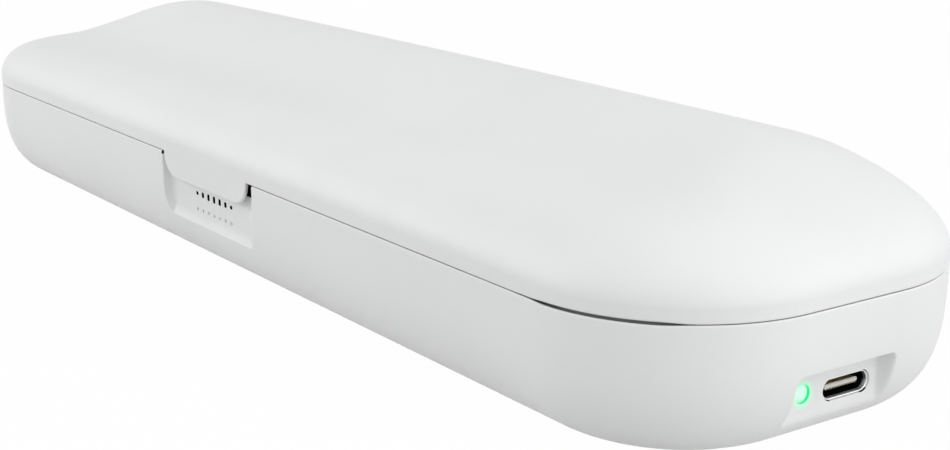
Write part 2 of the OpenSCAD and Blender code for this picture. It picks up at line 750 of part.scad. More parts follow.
module usb_tongue() {
    xb = floor_x - 0.25 - usb_len;
    color("lightgray") {
        slot_x(xb, xb + 1.4, usb_y, usb_z, usb_w - 0.62, usb_h - 0.62);
        block([xb + 1, usb_y - 3.35, usb_z - 0.35], [floor_x - 0.85, usb_y + 3.35, usb_z + 0.35]);
    }
}

module usb_contacts() {
    xb = floor_x - 0.25 - usb_len;
    color("gold") for (i = [0:11], s = [-1, 1]) {
        y = usb_y + (i - 5.5) * 0.5;
        z = usb_z + s * 0.38;
        block([xb + 1.5, y - 0.13, z - 0.03], [floor_x - 1.05, y + 0.13, z + 0.03]);
    }
}

module lid_shell() {
    k0 = lid_kn / 2;
    k1 = k0 + kn_gap + base_kn + kn_gap;
    color("white") difference() {
        union() {
            difference() {
                lid_fill(0, 0, lid_bot, lid_ds, 10);
                lid_fill(wall, wall, lid_bot - 1, lid_ds, 10);
            }
            wall_cut(-hw, -hw + tab_t) tab_shape(tab_w / 2, seam_z - tab_drop, tab_r, lip_z - 0.6);
            at_hinges() knuckle(-k0, k0, 1, lip_z + 1.9, hw - 1.2);
        }
        at_hinges() {
            for (s = [-1, 1]) bar_x(s > 0 ? k0 : -k1, s > 0 ? k1 : -k0, hinge_y, seam_z, knuckle_r + kn_air);
            bar_x(-k1, k1, hinge_y, seam_z, pin_r + run_gap);
        }
    }
}

module lid_liner() {
    color("gainsboro") difference() {
        union() {
            lid_fill(liner_in, liner_v, flange_z, liner_ds, 7);
            translate([0, 0, flange_z]) linear_extrude(flange_t) plan(wall + 0.3);
        }
        lid_fill(liner_in + liner_t, liner_v + liner_t, flange_z - 1, liner_ds, 7);
    }
}

module lid_magnets() {
    a = magnet_len / 2 + 1.5;
    color("silver") for (s = [-1, 1])
        block([tab_x + s * magnet_gap / 2 - a, -hw + wall + 1.2, flange_z + flange_t],
              [tab_x + s * magnet_gap / 2 + a, -hw + wall + 2.6, flange_z + flange_t + 1]);
}

module lid_pads() {
    color("dimgray") intersection() {
        lid_fill(liner_in + liner_t + 0.02, liner_v + liner_t + 0.02, flange_z, liner_ds, 7);
        for (x = pad_xs) block([x - pad_len / 2, cradle_y - pad_w / 2, deck_z + 13.2],
                               [x + pad_len / 2, cradle_y + pad_w / 2, seam_z + 30]);
    }
}

base_shell();
base_tray();
hinge_pins();
case_screws();
screw_covers();
head_pegs();
cradle_pads();
base_magnets();
charge_housing();
charge_coil();
ferrite_core();
coil_leads();
main_board();
board_screws();
charge_chips();
board_parts();
status_led();
status_lens();
usb_shell();
usb_tongue();
usb_contacts();
lid_shell();
lid_liner();
lid_magnets();
lid_pads();
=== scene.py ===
import math

import bmesh
import bpy
import numpy as np
from bpy.props import FloatProperty, FloatVectorProperty, IntProperty, PointerProperty
from bpy.types import Operator, Panel, PropertyGroup
from mathutils import Matrix, Vector


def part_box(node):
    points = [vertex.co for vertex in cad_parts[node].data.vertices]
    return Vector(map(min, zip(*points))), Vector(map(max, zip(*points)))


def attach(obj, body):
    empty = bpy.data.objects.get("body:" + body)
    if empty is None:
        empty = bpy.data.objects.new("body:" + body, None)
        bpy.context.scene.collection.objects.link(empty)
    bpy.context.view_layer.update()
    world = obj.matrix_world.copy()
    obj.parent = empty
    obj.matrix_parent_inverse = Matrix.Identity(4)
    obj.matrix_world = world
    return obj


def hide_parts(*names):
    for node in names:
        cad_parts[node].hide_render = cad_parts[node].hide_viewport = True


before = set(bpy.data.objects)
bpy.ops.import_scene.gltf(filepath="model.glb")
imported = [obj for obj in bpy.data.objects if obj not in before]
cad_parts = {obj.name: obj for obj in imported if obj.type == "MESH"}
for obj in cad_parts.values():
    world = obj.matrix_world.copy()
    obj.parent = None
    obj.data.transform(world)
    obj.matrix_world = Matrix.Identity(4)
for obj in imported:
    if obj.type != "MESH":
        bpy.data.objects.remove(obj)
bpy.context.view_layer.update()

bl_info = {
    "name": "Toothbrush travel case",
    "version": (1, 0, 0),
    "blender": (4, 5, 0),
    "location": "View3D > Sidebar > Travel case",
    "description": "Smooth shells, finishes, light and camera for a charging toothbrush travel case",
    "category": "Object",
}

MM = 0.001
LID_LOW, LID_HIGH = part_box("lid_shell")
SOCKET_LOW, SOCKET_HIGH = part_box("usb_shell")
TONGUE_LOW, TONGUE_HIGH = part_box("usb_tongue")
LENS_LOW, LENS_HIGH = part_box("status_lens")
PINS_LOW, PINS_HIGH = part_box("hinge_pins")
COIL_LOW, COIL_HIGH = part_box("charge_coil")
SCREWS_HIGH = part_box("case_screws")[1]
LIGHT = ((LENS_LOW.y + LENS_HIGH.y) / 2, (LENS_LOW.z + LENS_HIGH.z) / 2)
SOCKET = ((SOCKET_LOW.y + SOCKET_HIGH.y) / 2, (SOCKET_LOW.z + SOCKET_HIGH.z) / 2)
SOCKET_HALF = ((SOCKET_HIGH.y - SOCKET_LOW.y) / 2, (SOCKET_HIGH.z - SOCKET_LOW.z) / 2)
TONGUE_HALF = ((TONGUE_HIGH.y - TONGUE_LOW.y) / 2, (TONGUE_HIGH.z - TONGUE_LOW.z) / 2)

# Fixed sizes of the grids and finishes
DRAWN = (0.1, 1, 1)  # stretch of scratches that run along X
SCREW_HEAD = 2.1 * MM  # radius of a case screw's head
SCREW_HOLE = 2.15 * MM  # radius of the hole under it
SLOT_CORNER = 0.34 * MM  # corner radius of an air slot
BEHIND = 9 * MM  # how far the inside lies behind the floor of the end recess
TALL = 30 * MM  # taller than the case, for a shape that is open at one side
EDGE_STEPS = np.array([0, 0.3, 0.44, 0.5, 0.57, 0.65]) * MM  # rows and columns about a small hole's edge
LEVELS = np.array([0, 0.25, 0.5, 0.75, 0.93, 1, 1.06, 1.15, 1.3, 1.5])  # the same, in radii of the hole


# Sizes that a user would change

def metres(name, note, value):
    """A length in metres."""
    return FloatProperty(name=name, description=note, default=value, unit="LENGTH")


def mm(name, note, value):
    """A length given in millimetres."""
    return metres(name, note, value * MM)


def number(name, note, value):
    """A plain number."""
    return FloatProperty(name=name, description=note, default=value)


def angle(name, note, degrees):
    """An angle given in degrees."""
    return FloatProperty(name=name, description=note, default=math.radians(degrees), subtype="ANGLE")


def colour(name, note, value):
    """A colour."""
    return FloatVectorProperty(name=name, description=note, default=value, subtype="COLOR")


class CaseShape(PropertyGroup):
    """Outline and curves shared by the lower case, the lid and its liner"""
    length: metres("Length", "Case length over both ends", LID_HIGH.x - LID_LOW.x)
    width: metres("Width", "Case width over the two long sides", -2 * LID_LOW.y)
    seam: metres("Seam height", "Height of the hinge axis and the seam", (PINS_LOW.z + PINS_HIGH.z) / 2)
    seam_gap: mm("Seam gap", "Open gap between lower case and lid", 0.45)
    near_radius: mm("Near corners", "Plan radius at the socket end", 25)
    far_radius: mm("Far corners", "Plan radius at the far end", 29.2)
    wall: mm("Wall", "Wall of lower case and lid", 2.2)
    edge: mm("Edge", "Radius of the moulded edges", 0.24)
    seam_shut: mm("Shut seam", "Open gap along the front, where the seam is drawn shut", 0.1)
    tuck: mm("Tuck", "How far the side curves in under the case", 15.5)
    tuck_across: number("Tuck across", "Fullness of the side across", 2.34)
    tuck_down: number("Tuck down", "Fullness of the side downwards", 3.46)
    lip: mm("Lip", "Straight lip of the lid", 2.02)
    roll_run: mm("Roll run", "How far the rolled edge would run in", 36.7)
    roll_rise: mm("Roll rise", "How high the rolled edge would rise", 20.4)
    roll_across: number("Roll across", "Fullness of the roll across", 1.02)
    roll_lip: number("Roll at the lip", "Fullness of the roll at the lip", 1.81)
    top_rise: mm("Top rise", "Height of the broad top above the lip", 16.4)
    top_fall: mm("Top fall", "Fall of the broad top across half the width", 0.23)
    top_line: mm("Top line", "Highest line behind the centre line", 9.9)
    top_tilt: mm("Top tilt", "Rise of the broad top to the socket end", 1.27)
    top_bow: mm("Top bow", "Fall of the broad top to both ends", 1.88)
    top_blend: mm("Top blend", "How far roll and top blend into each other", 3.3)
    wave_drop: mm("Wave drop", "How far the front shelf lies below the hump", 7.82)
    wave_width: mm("Wave width", "Distance over which shelf turns into hump", 33)
    wave_middle: mm("Wave middle", "Middle of the slope at the far end", 3.52)
    wave_drift: mm("Wave drift", "Drift of the slope to the front", 12.41)
    fade_start: mm("Fade start", "Where the shelf begins to fade", 142)
    fade_run: mm("Fade run", "Length over which the shelf fades", 204)
    skin_run: mm("Skin run", "Inset from which an inner skin lies its full drop lower", 15.3)


class FrontShape(PropertyGroup):
    """Tab of the lid and finger recess with its air slots"""
    middle: mm("Middle", "Middle of the recess along the case", 1.6)
    tab_width: mm("Tab width", "Width of the tab", 31.1)
    tab_middle: mm("Tab middle", "Middle of the tab along the case", 1.0)
    tab_rim: mm("Tab rim", "Thickness of the tab's thin rim", 0.62)
    tab_step: mm("Tab step", "Width of that thin rim", 1.8)
    tab_low: metres("Tab edge", "Height of the tab's lower edge", LID_LOW.z)
    tab_radius: mm("Tab corner", "Corner radius of the tab", 4.3)
    tab_thick: mm("Tab thickness", "Thickness of the tab", 1.25)
    side_gap: mm("Side gap", "Gap beside the tab", 1.4)
    depth: mm("Recess depth", "Depth of the finger recess", 1.6)
    low: mm("Recess edge", "Lower edge of the recess", 9.1)
    corner: mm("Recess corner", "Corner radius of the recess", 4)
    slit_width: mm("Side slit width", "How far the near slit runs behind the tab", 5.4)
    slit_height: mm("Side slit", "Height of the slit behind each side gap", 2.6)
    slit_depth: mm("Side slit depth", "Depth of that slit behind the recess", 1.2)
    ramp: mm("Ramp", "Height over which the recess runs out below", 2.3)
    ramp_z: mm("Ramp foot", "Height where the ramp begins", 9.25)
    cove_far: mm("Far cove", "Run of the recess's far side", 2.6)
    cove_near: mm("Near cove", "Run of the recess's side by the socket end", 4.4)
    cove_z: mm("Cove height", "Height below which the near cove opens out", 16.6)
    slots: IntProperty(name="Slots", description="Number of air slots", default=7)
    pitch: mm("Pitch", "Spacing of the slots", 2.13)
    slot_width: mm("Slot width", "Width of a slot", 0.88)
    slot_tall: mm("Middle slot", "Height of the middle slot", 1.3)
    slot_short: mm("End slot", "Height of the outermost slot", 0.7)
    slot_z: mm("Slot row", "Height of the slot row", 14.8)
    dot_z: mm("Pin hole row", "Height of the pin hole row", 11.9)
    dot_width: mm("Pin hole", "Diameter of a pin hole", 0.7)


class EndShape(PropertyGroup):
    """Socket end: recess, socket hole and status light"""
    depth: mm("Depth", "Depth of the end recess", 2.95)
    width: mm("Width", "Width of the end recess", 19.15)
    middle: mm("Middle", "Middle of the end recess", -0.575)
    top: mm("Top", "Top edge of the end recess", 12.5)
    corner: mm("Corner", "Corner radius of the end recess", 1.5)
    cove: mm("Cove", "Run of the recess's side away from the light", 1.6)
    slope: mm("Slope", "Run of the recess's other sides", 0.35)
    air: mm("Air", "Air round the socket shell", 0.03)
    light_width: mm("Light hole", "Diameter of the light's hole", 2.7)


class HingeShape(PropertyGroup):
    """Knuckles of the two hinges"""
    place: mm("Place", "Distance of a hinge from the middle", 60)
    axis_y: metres("Axis", "Hinge axis behind the centre line", (PINS_LOW.y + PINS_HIGH.y) / 2)
    radius: mm("Knuckle", "Knuckle radius", 2.4)
    air: mm("Air", "Air round a knuckle", 0.3)
    lid_half: mm("Lid knuckle", "Half width of the lid knuckle", 6)
    case_knuckle: mm("Case knuckle", "Width of a case knuckle", 5)
    side_gap: mm("Side gap", "Gap between knuckles", 0.3)
    pin: metres("Pin", "Pin radius", (PINS_HIGH.z - PINS_LOW.z) / 2)


class Finishes(PropertyGroup):
    """Colours of the finishes"""
    shell: colour("Shell", "White moulded plastic", (0.83, 0.835, 0.835))
    inside: colour("Inside", "Pale grey inner plastic", (0.66, 0.67, 0.68))
    # Green of the status light, used for its painted glow on the plastic round it and on its hole's wall.
    glow: colour("Glow", "Green of the status light", (0.0, 0.85, 0.3))
    tongue: colour("Tongue", "Grey of the socket tongue", (0.62, 0.63, 0.64))
    soft: colour("Soft pads", "Grey of the soft pads", (0.12, 0.125, 0.13))


class StageSetup(PropertyGroup):
    """Floor, light and camera"""
    floor: colour("Floor", "Colour of the floor", (0.66, 0.66, 0.66))
    sky: number("Sky", "Strength of the even light from all round", 0.474)
    key: number("Key", "Power of the large light above the socket end", 2.65)
    front: number("Front", "Power of the light in front at the far end", 3.2)
    side: number("Side", "Power of the light at the socket end", 1.55)
    back: number("Back", "Power of the light behind the socket end", 0.96)
    white: FloatProperty(name="White floor", description="Share of plain white in the floor as it is seen",
                         default=0.985, subtype="FACTOR")
    place: FloatVectorProperty(name="Camera", description="Place of the camera", subtype="TRANSLATION",
                               default=(0.2573, -0.1597, 0.0854))
    azimuth: angle("Azimuth", "Heading the camera looks from", 54.36)
    elevation: angle("Elevation", "Height angle the camera looks from", 14.87)
    roll: angle("Roll", "Turn about the line of sight", 0.24)
    lens: number("Lens", "Focal length on a 36 mm sensor", 63.2)


# Curves of the case, as whole arrays

def smooth(t):
    """Level at both ends: 6 t^5 - 15 t^4 + 10 t^3 between 0 and 1."""
    c = np.clip(t, 0, 1)
    return c * c * c * (c * (c * 6 - 15) + 10)


def ring_radius(case, radius, inset):
    """Corner radius left at an inset: radius less inset, never under half of the half width that is left."""
    return np.maximum(radius - inset, 0.5 * (case.width / 2 - inset))


def stretch_lengths(case):
    """Lengths of the eight stretches: front, corner, socket end, corner, back, corner, far end, corner."""
    near, far = case.near_radius, case.far_radius
    side = case.length - near - far
    turn = math.pi / 2
    return np.array([side, near * turn, case.width - 2 * near, near * turn,
                     side, far * turn, case.width - 2 * far, far * turn])


def outline_point(case, s, inset):
    """Point and outward normal at the distance s along the outline, inset inwards. A straight stretch is
    the line between its two corner arcs, and a corner is its centre plus the radius left at that inset."""
    lengths = stretch_lengths(case)
    starts = np.concatenate([[0], np.cumsum(lengths)])
    s, inset = np.broadcast_arrays(np.mod(s, starts[-1]), inset)
    part = np.clip(np.searchsorted(starts, s, side="right") - 1, 0, 7)
    t = (s - starts[part]) / lengths[part]
    x = case.length / 2 - inset
    y = case.width / 2 - inset
    near = ring_radius(case, case.near_radius, inset)
    far = ring_radius(case, case.far_radius, inset)
    xn, xf, yn, yf = x - near, far - x, y - near, y - far
    none = np.zeros_like(x)
    cx = np.choose(part, [xf + (xn - xf) * t, xn, x, xn, xn + (xf - xn) * t, xf, -x, xf])
    cy = np.choose(part, [-y, -yn, yn * (2 * t - 1), yn, y, yf, yf * (1 - 2 * t), -yf])
    radius = np.choose(part, [none, near, none, near, none, far, none, far])
    start = np.array([-90, -90, 0, 0, 90, 90, 180, 180])[part]
    turn = np.array([0, 90, 0, 90, 0, 90, 0, 90])[part]
    angle = np.radians(start + turn * t)
    nx, ny = np.cos(angle), np.sin(angle)
    return cx + radius * nx, cy + radius * ny, nx, ny


def places(marks, gap, total):
    """Places along a closed line: the marks, and even steps of at most gap between them."""
    marks = np.unique(np.mod(marks, total))
    marks = marks[np.concatenate([[True], np.diff(marks) > 0.02 * MM])]
    steps = np.diff(np.append(marks, marks[0] + total))
    return np.concatenate([np.linspace(a, a + w, max(1, math.ceil(w / gap)), endpoint=False)
                           for a, w in zip(marks, steps)])


def around(middle, offsets):
    """The middle, and each offset on both sides of it."""
    offsets = np.asarray(offsets)
    return np.concatenate([middle - offsets, middle + offsets])


def corner_marks(case, steps):
    """Distances along the outline of even steps on the four corners."""
    lengths = stretch_lengths(case)
    starts = np.concatenate([[0], np.cumsum(lengths)])
    return np.concatenate([np.linspace(starts[k], starts[k + 1], steps + 1) for k in (1, 3, 5, 7)])


def front_s(case, x):
    """Distance along the outline of a point of the front."""
    return x + case.length / 2 - case.far_radius


def back_s(case, x):
    """Distance along the outline of a point of the back."""
    return stretch_lengths(case)[:4].sum() + case.length / 2 - case.near_radius - x


def end_s(case, y):
    """Distance along the outline of a point of the socket end."""
    return stretch_lengths(case)[:2].sum() + y + case.width / 2 - case.near_radius


def fit_patch(a, b, p, q, centre, size, corner, reach, turn=0.0):
    """Bends a grid so that its patch |p|, |q| <= 1 fills a rounded rectangle. On the level m = max(|p|, |q|)
    a point goes to m times the rectangle, and in each corner square to m times the corner's arc. Past
    m = 1 the move fades out, and is gone at m = reach."""
    level = np.maximum(np.abs(p), np.abs(q))
    u = np.abs(p) * size[0] - level * (size[0] - corner)
    v = np.abs(q) * size[1] - level * (size[1] - corner)
    bend = np.where((u > 0) & (v > 0), np.maximum(u, v) / np.maximum(np.hypot(u, v), 1e-12), 1.0)
    pull = (u > 0) & (v > 0)
    u = np.where(pull, u * bend, u) + level * (size[0] - corner)
    v = np.where(pull, v * bend, v) + level * (size[1] - corner)
    u, v = np.sign(p) * u, np.sign(q) * v
    goal_a = centre[0] + u * math.cos(turn) - v * math.sin(turn)
    goal_b = centre[1] + u * math.sin(turn) + v * math.cos(turn)
    weight = 1 - smooth((level - 1) / (reach - 1))
    return a + (goal_a - a) * weight, b + (goal_b - b) * weight


def fit_corner(a, b, centre, way, radius, reach):
    """Bends a grid so that the corner square beside centre, on the side given by way, fills a quarter circle:
    the level m = max(u, v) goes to m times the arc, fading out past m = 1 up to m = reach."""
    u = (a - centre[0]) * way[0] / radius
    v = (b - centre[1]) * way[1] / radius
    level = np.maximum(u, v)
    inside = (u > 0) & (v > 0) & (level < reach)
    weight = np.where(inside, 1 - smooth((level - 1) / (reach - 1)), 0.0)
    shrink = 1 + weight * (level / np.maximum(np.hypot(u, v), 1e-9) - 1)
    return centre[0] + (a - centre[0]) * shrink, centre[1] + (b - centre[1]) * shrink


def rounded_gap(a, b, half_a, half_b, radius):
    """Signed distance to a rounded rectangle about the origin, below zero inside."""
    u = np.abs(a) - half_a + radius
    v = np.abs(b) - half_b + radius
    return np.hypot(np.maximum(u, 0), np.maximum(v, 0)) + np.minimum(np.maximum(u, v), 0) - radius


def soft_max(a, b, width):
    """Larger of a and b, with the fold between them rounded over width."""
    h = np.clip(0.5 + 0.5 * (a - b) / width, 0, 1)
    return b + (a - b) * h + width * h * (1 - h) * 0.5


def strip_faces(rows, cols, first=0):
    """Quads between neighbouring rows of a grid that closes on itself along the row."""
    i = np.arange(rows - 1)[:, None] * cols
    j = np.arange(cols)[None, :]
    k = (j + 1) % cols
    quads = np.stack([i + j, i + cols + j, i + cols + k, i + k], axis=-1)
    return quads.reshape(-1, 4) + first


def skin(rows, finish=0):
    """Points, quads and finish indices of a grid of rows that closes on itself along the row."""
    faces = strip_faces(len(rows), rows.shape[1]).tolist()
    return rows.reshape(-1, 3), faces, [finish] * len(faces)


def caps(rows, cols):
    """Flat faces over the first and the last row of such a grid."""
    last = (rows - 1) * cols
    return [list(range(cols)), list(range(last + cols - 1, last - 1, -1))]


# Meshes

def add_mesh(name, parts, materials, sharp=38):
    """One object from parts, each (points, faces, finish index per face), with doubles merged."""
    points, faces, finish, first = [], [], [], 0
    for verts, polys, index in parts:
        points.append(verts)
        faces += [tuple(v + first for v in poly) for poly in polys]
        finish += list(index)
        first += len(verts)
    mesh = bpy.data.meshes.new(name)
    mesh.from_pydata(np.concatenate(points), [], faces)
    for material in materials:
        mesh.materials.append(material)
    mesh.polygons.foreach_set("material_index", np.array(finish, dtype=np.int32))
    mesh.polygons.foreach_set("use_smooth", np.ones(len(faces), dtype=bool))
    work = bmesh.new()
    work.from_mesh(mesh)
    bmesh.ops.remove_doubles(work, verts=work.verts, dist=1e-6)
    bmesh.ops.dissolve_degenerate(work, edges=work.edges, dist=1e-7)
    bmesh.ops.recalc_face_normals(work, faces=work.faces)
    work.to_mesh(mesh)
    work.free()
    mesh.set_sharp_from_angle(angle=math.radians(sharp))
    mesh.update()
    obj = bpy.data.objects.new(name, mesh)
    bpy.context.scene.collection.objects.link(obj)
    return obj


def knuckle_part(hinge, case, x0, x1, side, foot_y, foot_z):
    """Hinge knuckle between x0 and x1 with its web. The profile is the circle of the knuckle as far as the
    line from the foot of the web touches it, and the rings along X are that profile, drawn in at both ends
    for the rounded edges, with the pin's hole in each end."""
    centre = np.array([hinge.axis_y, case.seam])
    foot = np.array([foot_y, foot_z])
    away = foot - centre
    touch = math.atan2(away[1], away[0]) - side * math.acos(hinge.radius / np.hypot(*away))
    end = math.pi + math.asin(case.seam_gap / 2 / hinge.radius)
    angles = side * np.linspace(side * touch, -end, 46)
    circle = centre + hinge.radius * np.stack([np.cos(angles), np.sin(angles)], axis=1)
    inner_y = case.width / 2 - 1.6 * MM
    web = np.array([[inner_y, foot_z], [foot_y, foot_z]])
    loop = np.concatenate([circle, web])
    ray = loop - centre
    hole = centre + hinge.pin * ray / np.linalg.norm(ray, axis=1)[:, None]
    deep, edge = 0.4 * MM, 0.25 * MM
    drawn = centre + ray * (1 - edge / hinge.radius)
    soft = centre + ray * (1 - 0.08)
    stack = [(x0 + deep, hole), (x0, hole), (x0, drawn), (x0 + 0.3 * edge, soft),
             (x0 + edge, loop), (x1 - edge, loop), (x1 - 0.3 * edge, soft),
             (x1, drawn), (x1, hole), (x1 - deep, hole)]
    points, faces, _ = skin(np.array([np.column_stack([np.full(len(r), x), r]) for x, r in stack]))
    faces += caps(len(stack), len(loop))
    return points, faces, [0] * len(faces)


def hinge_groove(hinge, case, x, y, z, near, far):
    """Where |x| lies from near to far of a hinge, y comes in to a round groove about the hinge axis."""
    radius = hinge.radius + hinge.air
    beside = np.abs(np.abs(x) - hinge.place)
    across = np.abs(z - case.seam)
    groove = hinge.axis_y - np.sqrt(np.maximum(radius ** 2 - across ** 2, 0))
    cut = (beside > near) & (beside < far) & (y > 0) & (across < radius)
    return np.where(cut, np.minimum(y, groove), y)


def tuck_inset(case, z):
    """Inset of the lower case at the height z: tuck (1 - (1 - q^down)^(1/across)), q = 1 - z / rim."""
    rim = case.seam - case.seam_gap / 2
    q = np.clip(1 - z / rim, 0, 1)
    return case.tuck * (1 - (1 - q ** case.tuck_down) ** (1 / case.tuck_across))


def tuck_height(case, inset):
    """Height of the lower case at an inset, the inverse of tuck_inset."""
    rim = case.seam - case.seam_gap / 2
    share = np.clip(1 - inset / case.tuck, 0, 1)
    return rim * (1 - (1 - share ** case.tuck_across) ** (1 / case.tuck_down))


def recess_half(front):
    """Half width of the finger recess."""
    return front.tab_width / 2 + front.side_gap


def pad_half(front):
    """Half width of the thick wall behind the finger recess."""
    return front.tab_width / 2 + 3 * MM


def slot_heights(front, x):
    """Offset from the nearest slot, and that slot's height: short at the ends and tall in the middle."""
    most = (front.slots - 1) / 2
    i = np.clip(np.round((x - front.middle) / front.pitch), -most, most)
    tall = front.slot_short + (front.slot_tall - front.slot_short) * (1 - (i / most) ** 2)
    return x - front.middle - i * front.pitch, tall


def recess_inset(front, x, z, wall):
    """Inset of the front with the finger recess: a flat floor that ends below in a hollow ledge, a quarter
    circle sqrt(1 - (1 - t)^2) of its height. At the sides it takes hold over a cove, 1 - (1 - t)^3 at the far
    side and 6 t^5 - 15 t^4 + 10 t^3 at the socket side, and below over a short edge."""
    half = recess_half(front)
    edge = rounded_gap(x - front.middle, z - front.low - TALL, half, TALL, front.corner)
    near = smooth((x - front.middle) / (0.7 * half))
    low = smooth((front.cove_z - z) / (1.8 * MM))
    below = smooth(0.5 + (half - np.abs(x - front.middle) - z + front.low) / (4 * MM))
    side = front.cove_far + (front.cove_near - front.cove_far) * near * low
    t = np.clip(-edge / (side + (0.35 * MM - side) * below), 0, 1)
    soft = near * low * (1 - below)
    cove = (1 - soft) * (1 - (1 - t) ** 3) * smooth(t / 0.15) + soft * smooth(t)
    rise = np.clip((z - front.ramp_z) / front.ramp, 0, 1)
    floor = front.depth * np.sqrt(1 - (1 - rise) ** 2) * smooth(rise / 0.07)
    return np.where(edge < 0, wall + cove * (soft_max(floor, wall, 0.2 * MM) - wall), wall)


def slit_distance(front, x, z, rim):
    """Signed distance to the slits in the rim behind the side gaps of the tab, below zero inside: a long one
    at the near side, and a short notch at the far side."""
    half = recess_half(front)
    near = front.slit_width / 2
    far = (front.side_gap - 0.1 * MM) / 2
    gap_near = rounded_gap(x - front.middle - half + near, z - rim, near, front.slit_height, 0.5 * MM)
    gap_far = rounded_gap(x - front.middle + half - far, z - rim, far, 0.6 * MM, 0.2 * MM)
    return np.minimum(gap_near, gap_far)


def seam_half(case, s):
    """Half of the seam's open gap at s: drawn shut all round, but standing open to its full gap by
    6 t^5 - 15 t^4 + 10 t^3 over the first half of the front corner of the socket end."""
    lengths = stretch_lengths(case)
    along = s - lengths[0]
    opens = smooth((along + 2 * MM) / (5 * MM))
    stand = opens * (1 - smooth((along - 0.46 * lengths[1]) / (6 * MM)))
    return (case.seam_shut + (case.seam_gap - case.seam_shut) * stand) / 2


def pit_depth(edge, depth, lip):
    """Depth of a pit beside its edge: full inside by 6 t^5 - 15 t^4 + 10 t^3 over 0.08 mm, and outside a lip
    that rounds in as 0.35 lip (1 - edge / lip)^2."""
    return depth * smooth(-edge / (0.08 * MM)) + 0.35 * lip * np.clip(1 - edge / lip, 0, 1) ** 2


def sink_in(end, floor, x, y, reach, above):
    """x drawn in to the floor of the end recess over the distance reach inside its edge, by
    6 t^5 - 15 t^4 + 10 t^3: over a short slope at one side and above, and over a cove at the other side,
    with t^1.35 for t there. The run between slope and cove is blended by above."""
    sloped = y < end.middle
    run = np.where(sloped, end.slope, end.cove) * (1 - above) + end.slope * above
    t = np.clip(reach / run, 0, 1)
    share = np.where(sloped, smooth(t), smooth(t ** 1.35))
    return np.where(x > floor, x + (floor - x) * share, x)


def screw_holes(case):
    """Holes of the case screws in the underside, one in each corner: place along the outline, half width
    there, x, y and heading from the corner's centre."""
    x, y = SCREWS_HIGH.x - SCREW_HEAD, SCREWS_HIGH.y - SCREW_HEAD
    holes = []
    for corner, (way_x, way_y) in enumerate(((1, -1), (1, 1), (-1, 1), (-1, -1))):
        radius = case.near_radius if way_x > 0 else case.far_radius
        arm_x, arm_y = x - case.length / 2 + radius, y - case.width / 2 + radius
        angle = math.atan2(way_y * arm_y, way_x * arm_x)
        start = stretch_lengths(case)[:2 * corner + 1].sum()
        turned = (angle - (corner - 1) * math.pi / 2) % (2 * math.pi)
        span = radius / math.hypot(arm_x, arm_y) * SCREW_HOLE
        holes.append((start + radius * turned, span, way_x * x, way_y * y, angle))
    return holes


def case_columns(case, front, end, hinge, slot_x, holes):
    """Columns of the lower case: even steps along the outline, and close ones at every edge that it has."""
    half = recess_half(front)
    at_recess = half + np.array([-4, -3.5, -3, -2.5, -2, -1.5, -1.2, -1.06, -1, -0.94, -0.7, -0.45, -0.25,
                                 -0.12, -0.04, 0.04, 0.2, 0.6, 1.2, 2]) * MM
    at_slit = front.middle + half - front.slit_width + np.array([-0.12, -0.05, 0.01, 0.1]) * MM
    at_pad = pad_half(front) + np.array([-0.1, 0.1]) * MM
    at_corner = end.width / 2 + np.array([-1.7, -1.55, -1.4, -1.25, -1.1, -0.95, -0.8, -0.6, -0.37, -0.28,
                                          -0.18, -0.08, 0, 0.1, 0.4]) * MM
    socket_w, socket_h = SOCKET_HALF[0] + end.air, SOCKET_HALF[1] + end.air
    at_hinge = around(hinge.place, hinge.lid_half + hinge.side_gap + np.array([-0.03, 0.03]) * MM)
    marks = [front_s(case, around(front.middle, at_recess)),
             np.concatenate([front_s(case, around(x, EDGE_STEPS)) for x in slot_x]),
             front_s(case, at_slit),
             front_s(case, around(front.middle, at_pad)),
             end_s(case, around(LIGHT[0], end.light_width / 2 * LEVELS)),
             end_s(case, around(SOCKET[0], socket_w - socket_h * (1 - LEVELS[:-1]))),
             end_s(case, around(end.middle, at_corner)),
             corner_marks(case, 26),
             back_s(case, -at_hinge), back_s(case, at_hinge)]
    marks += [around(hole[0], hole[1] * LEVELS[:-1]) for hole in holes]
    return places(np.concatenate(marks), 5 * MM, stretch_lengths(case).sum())


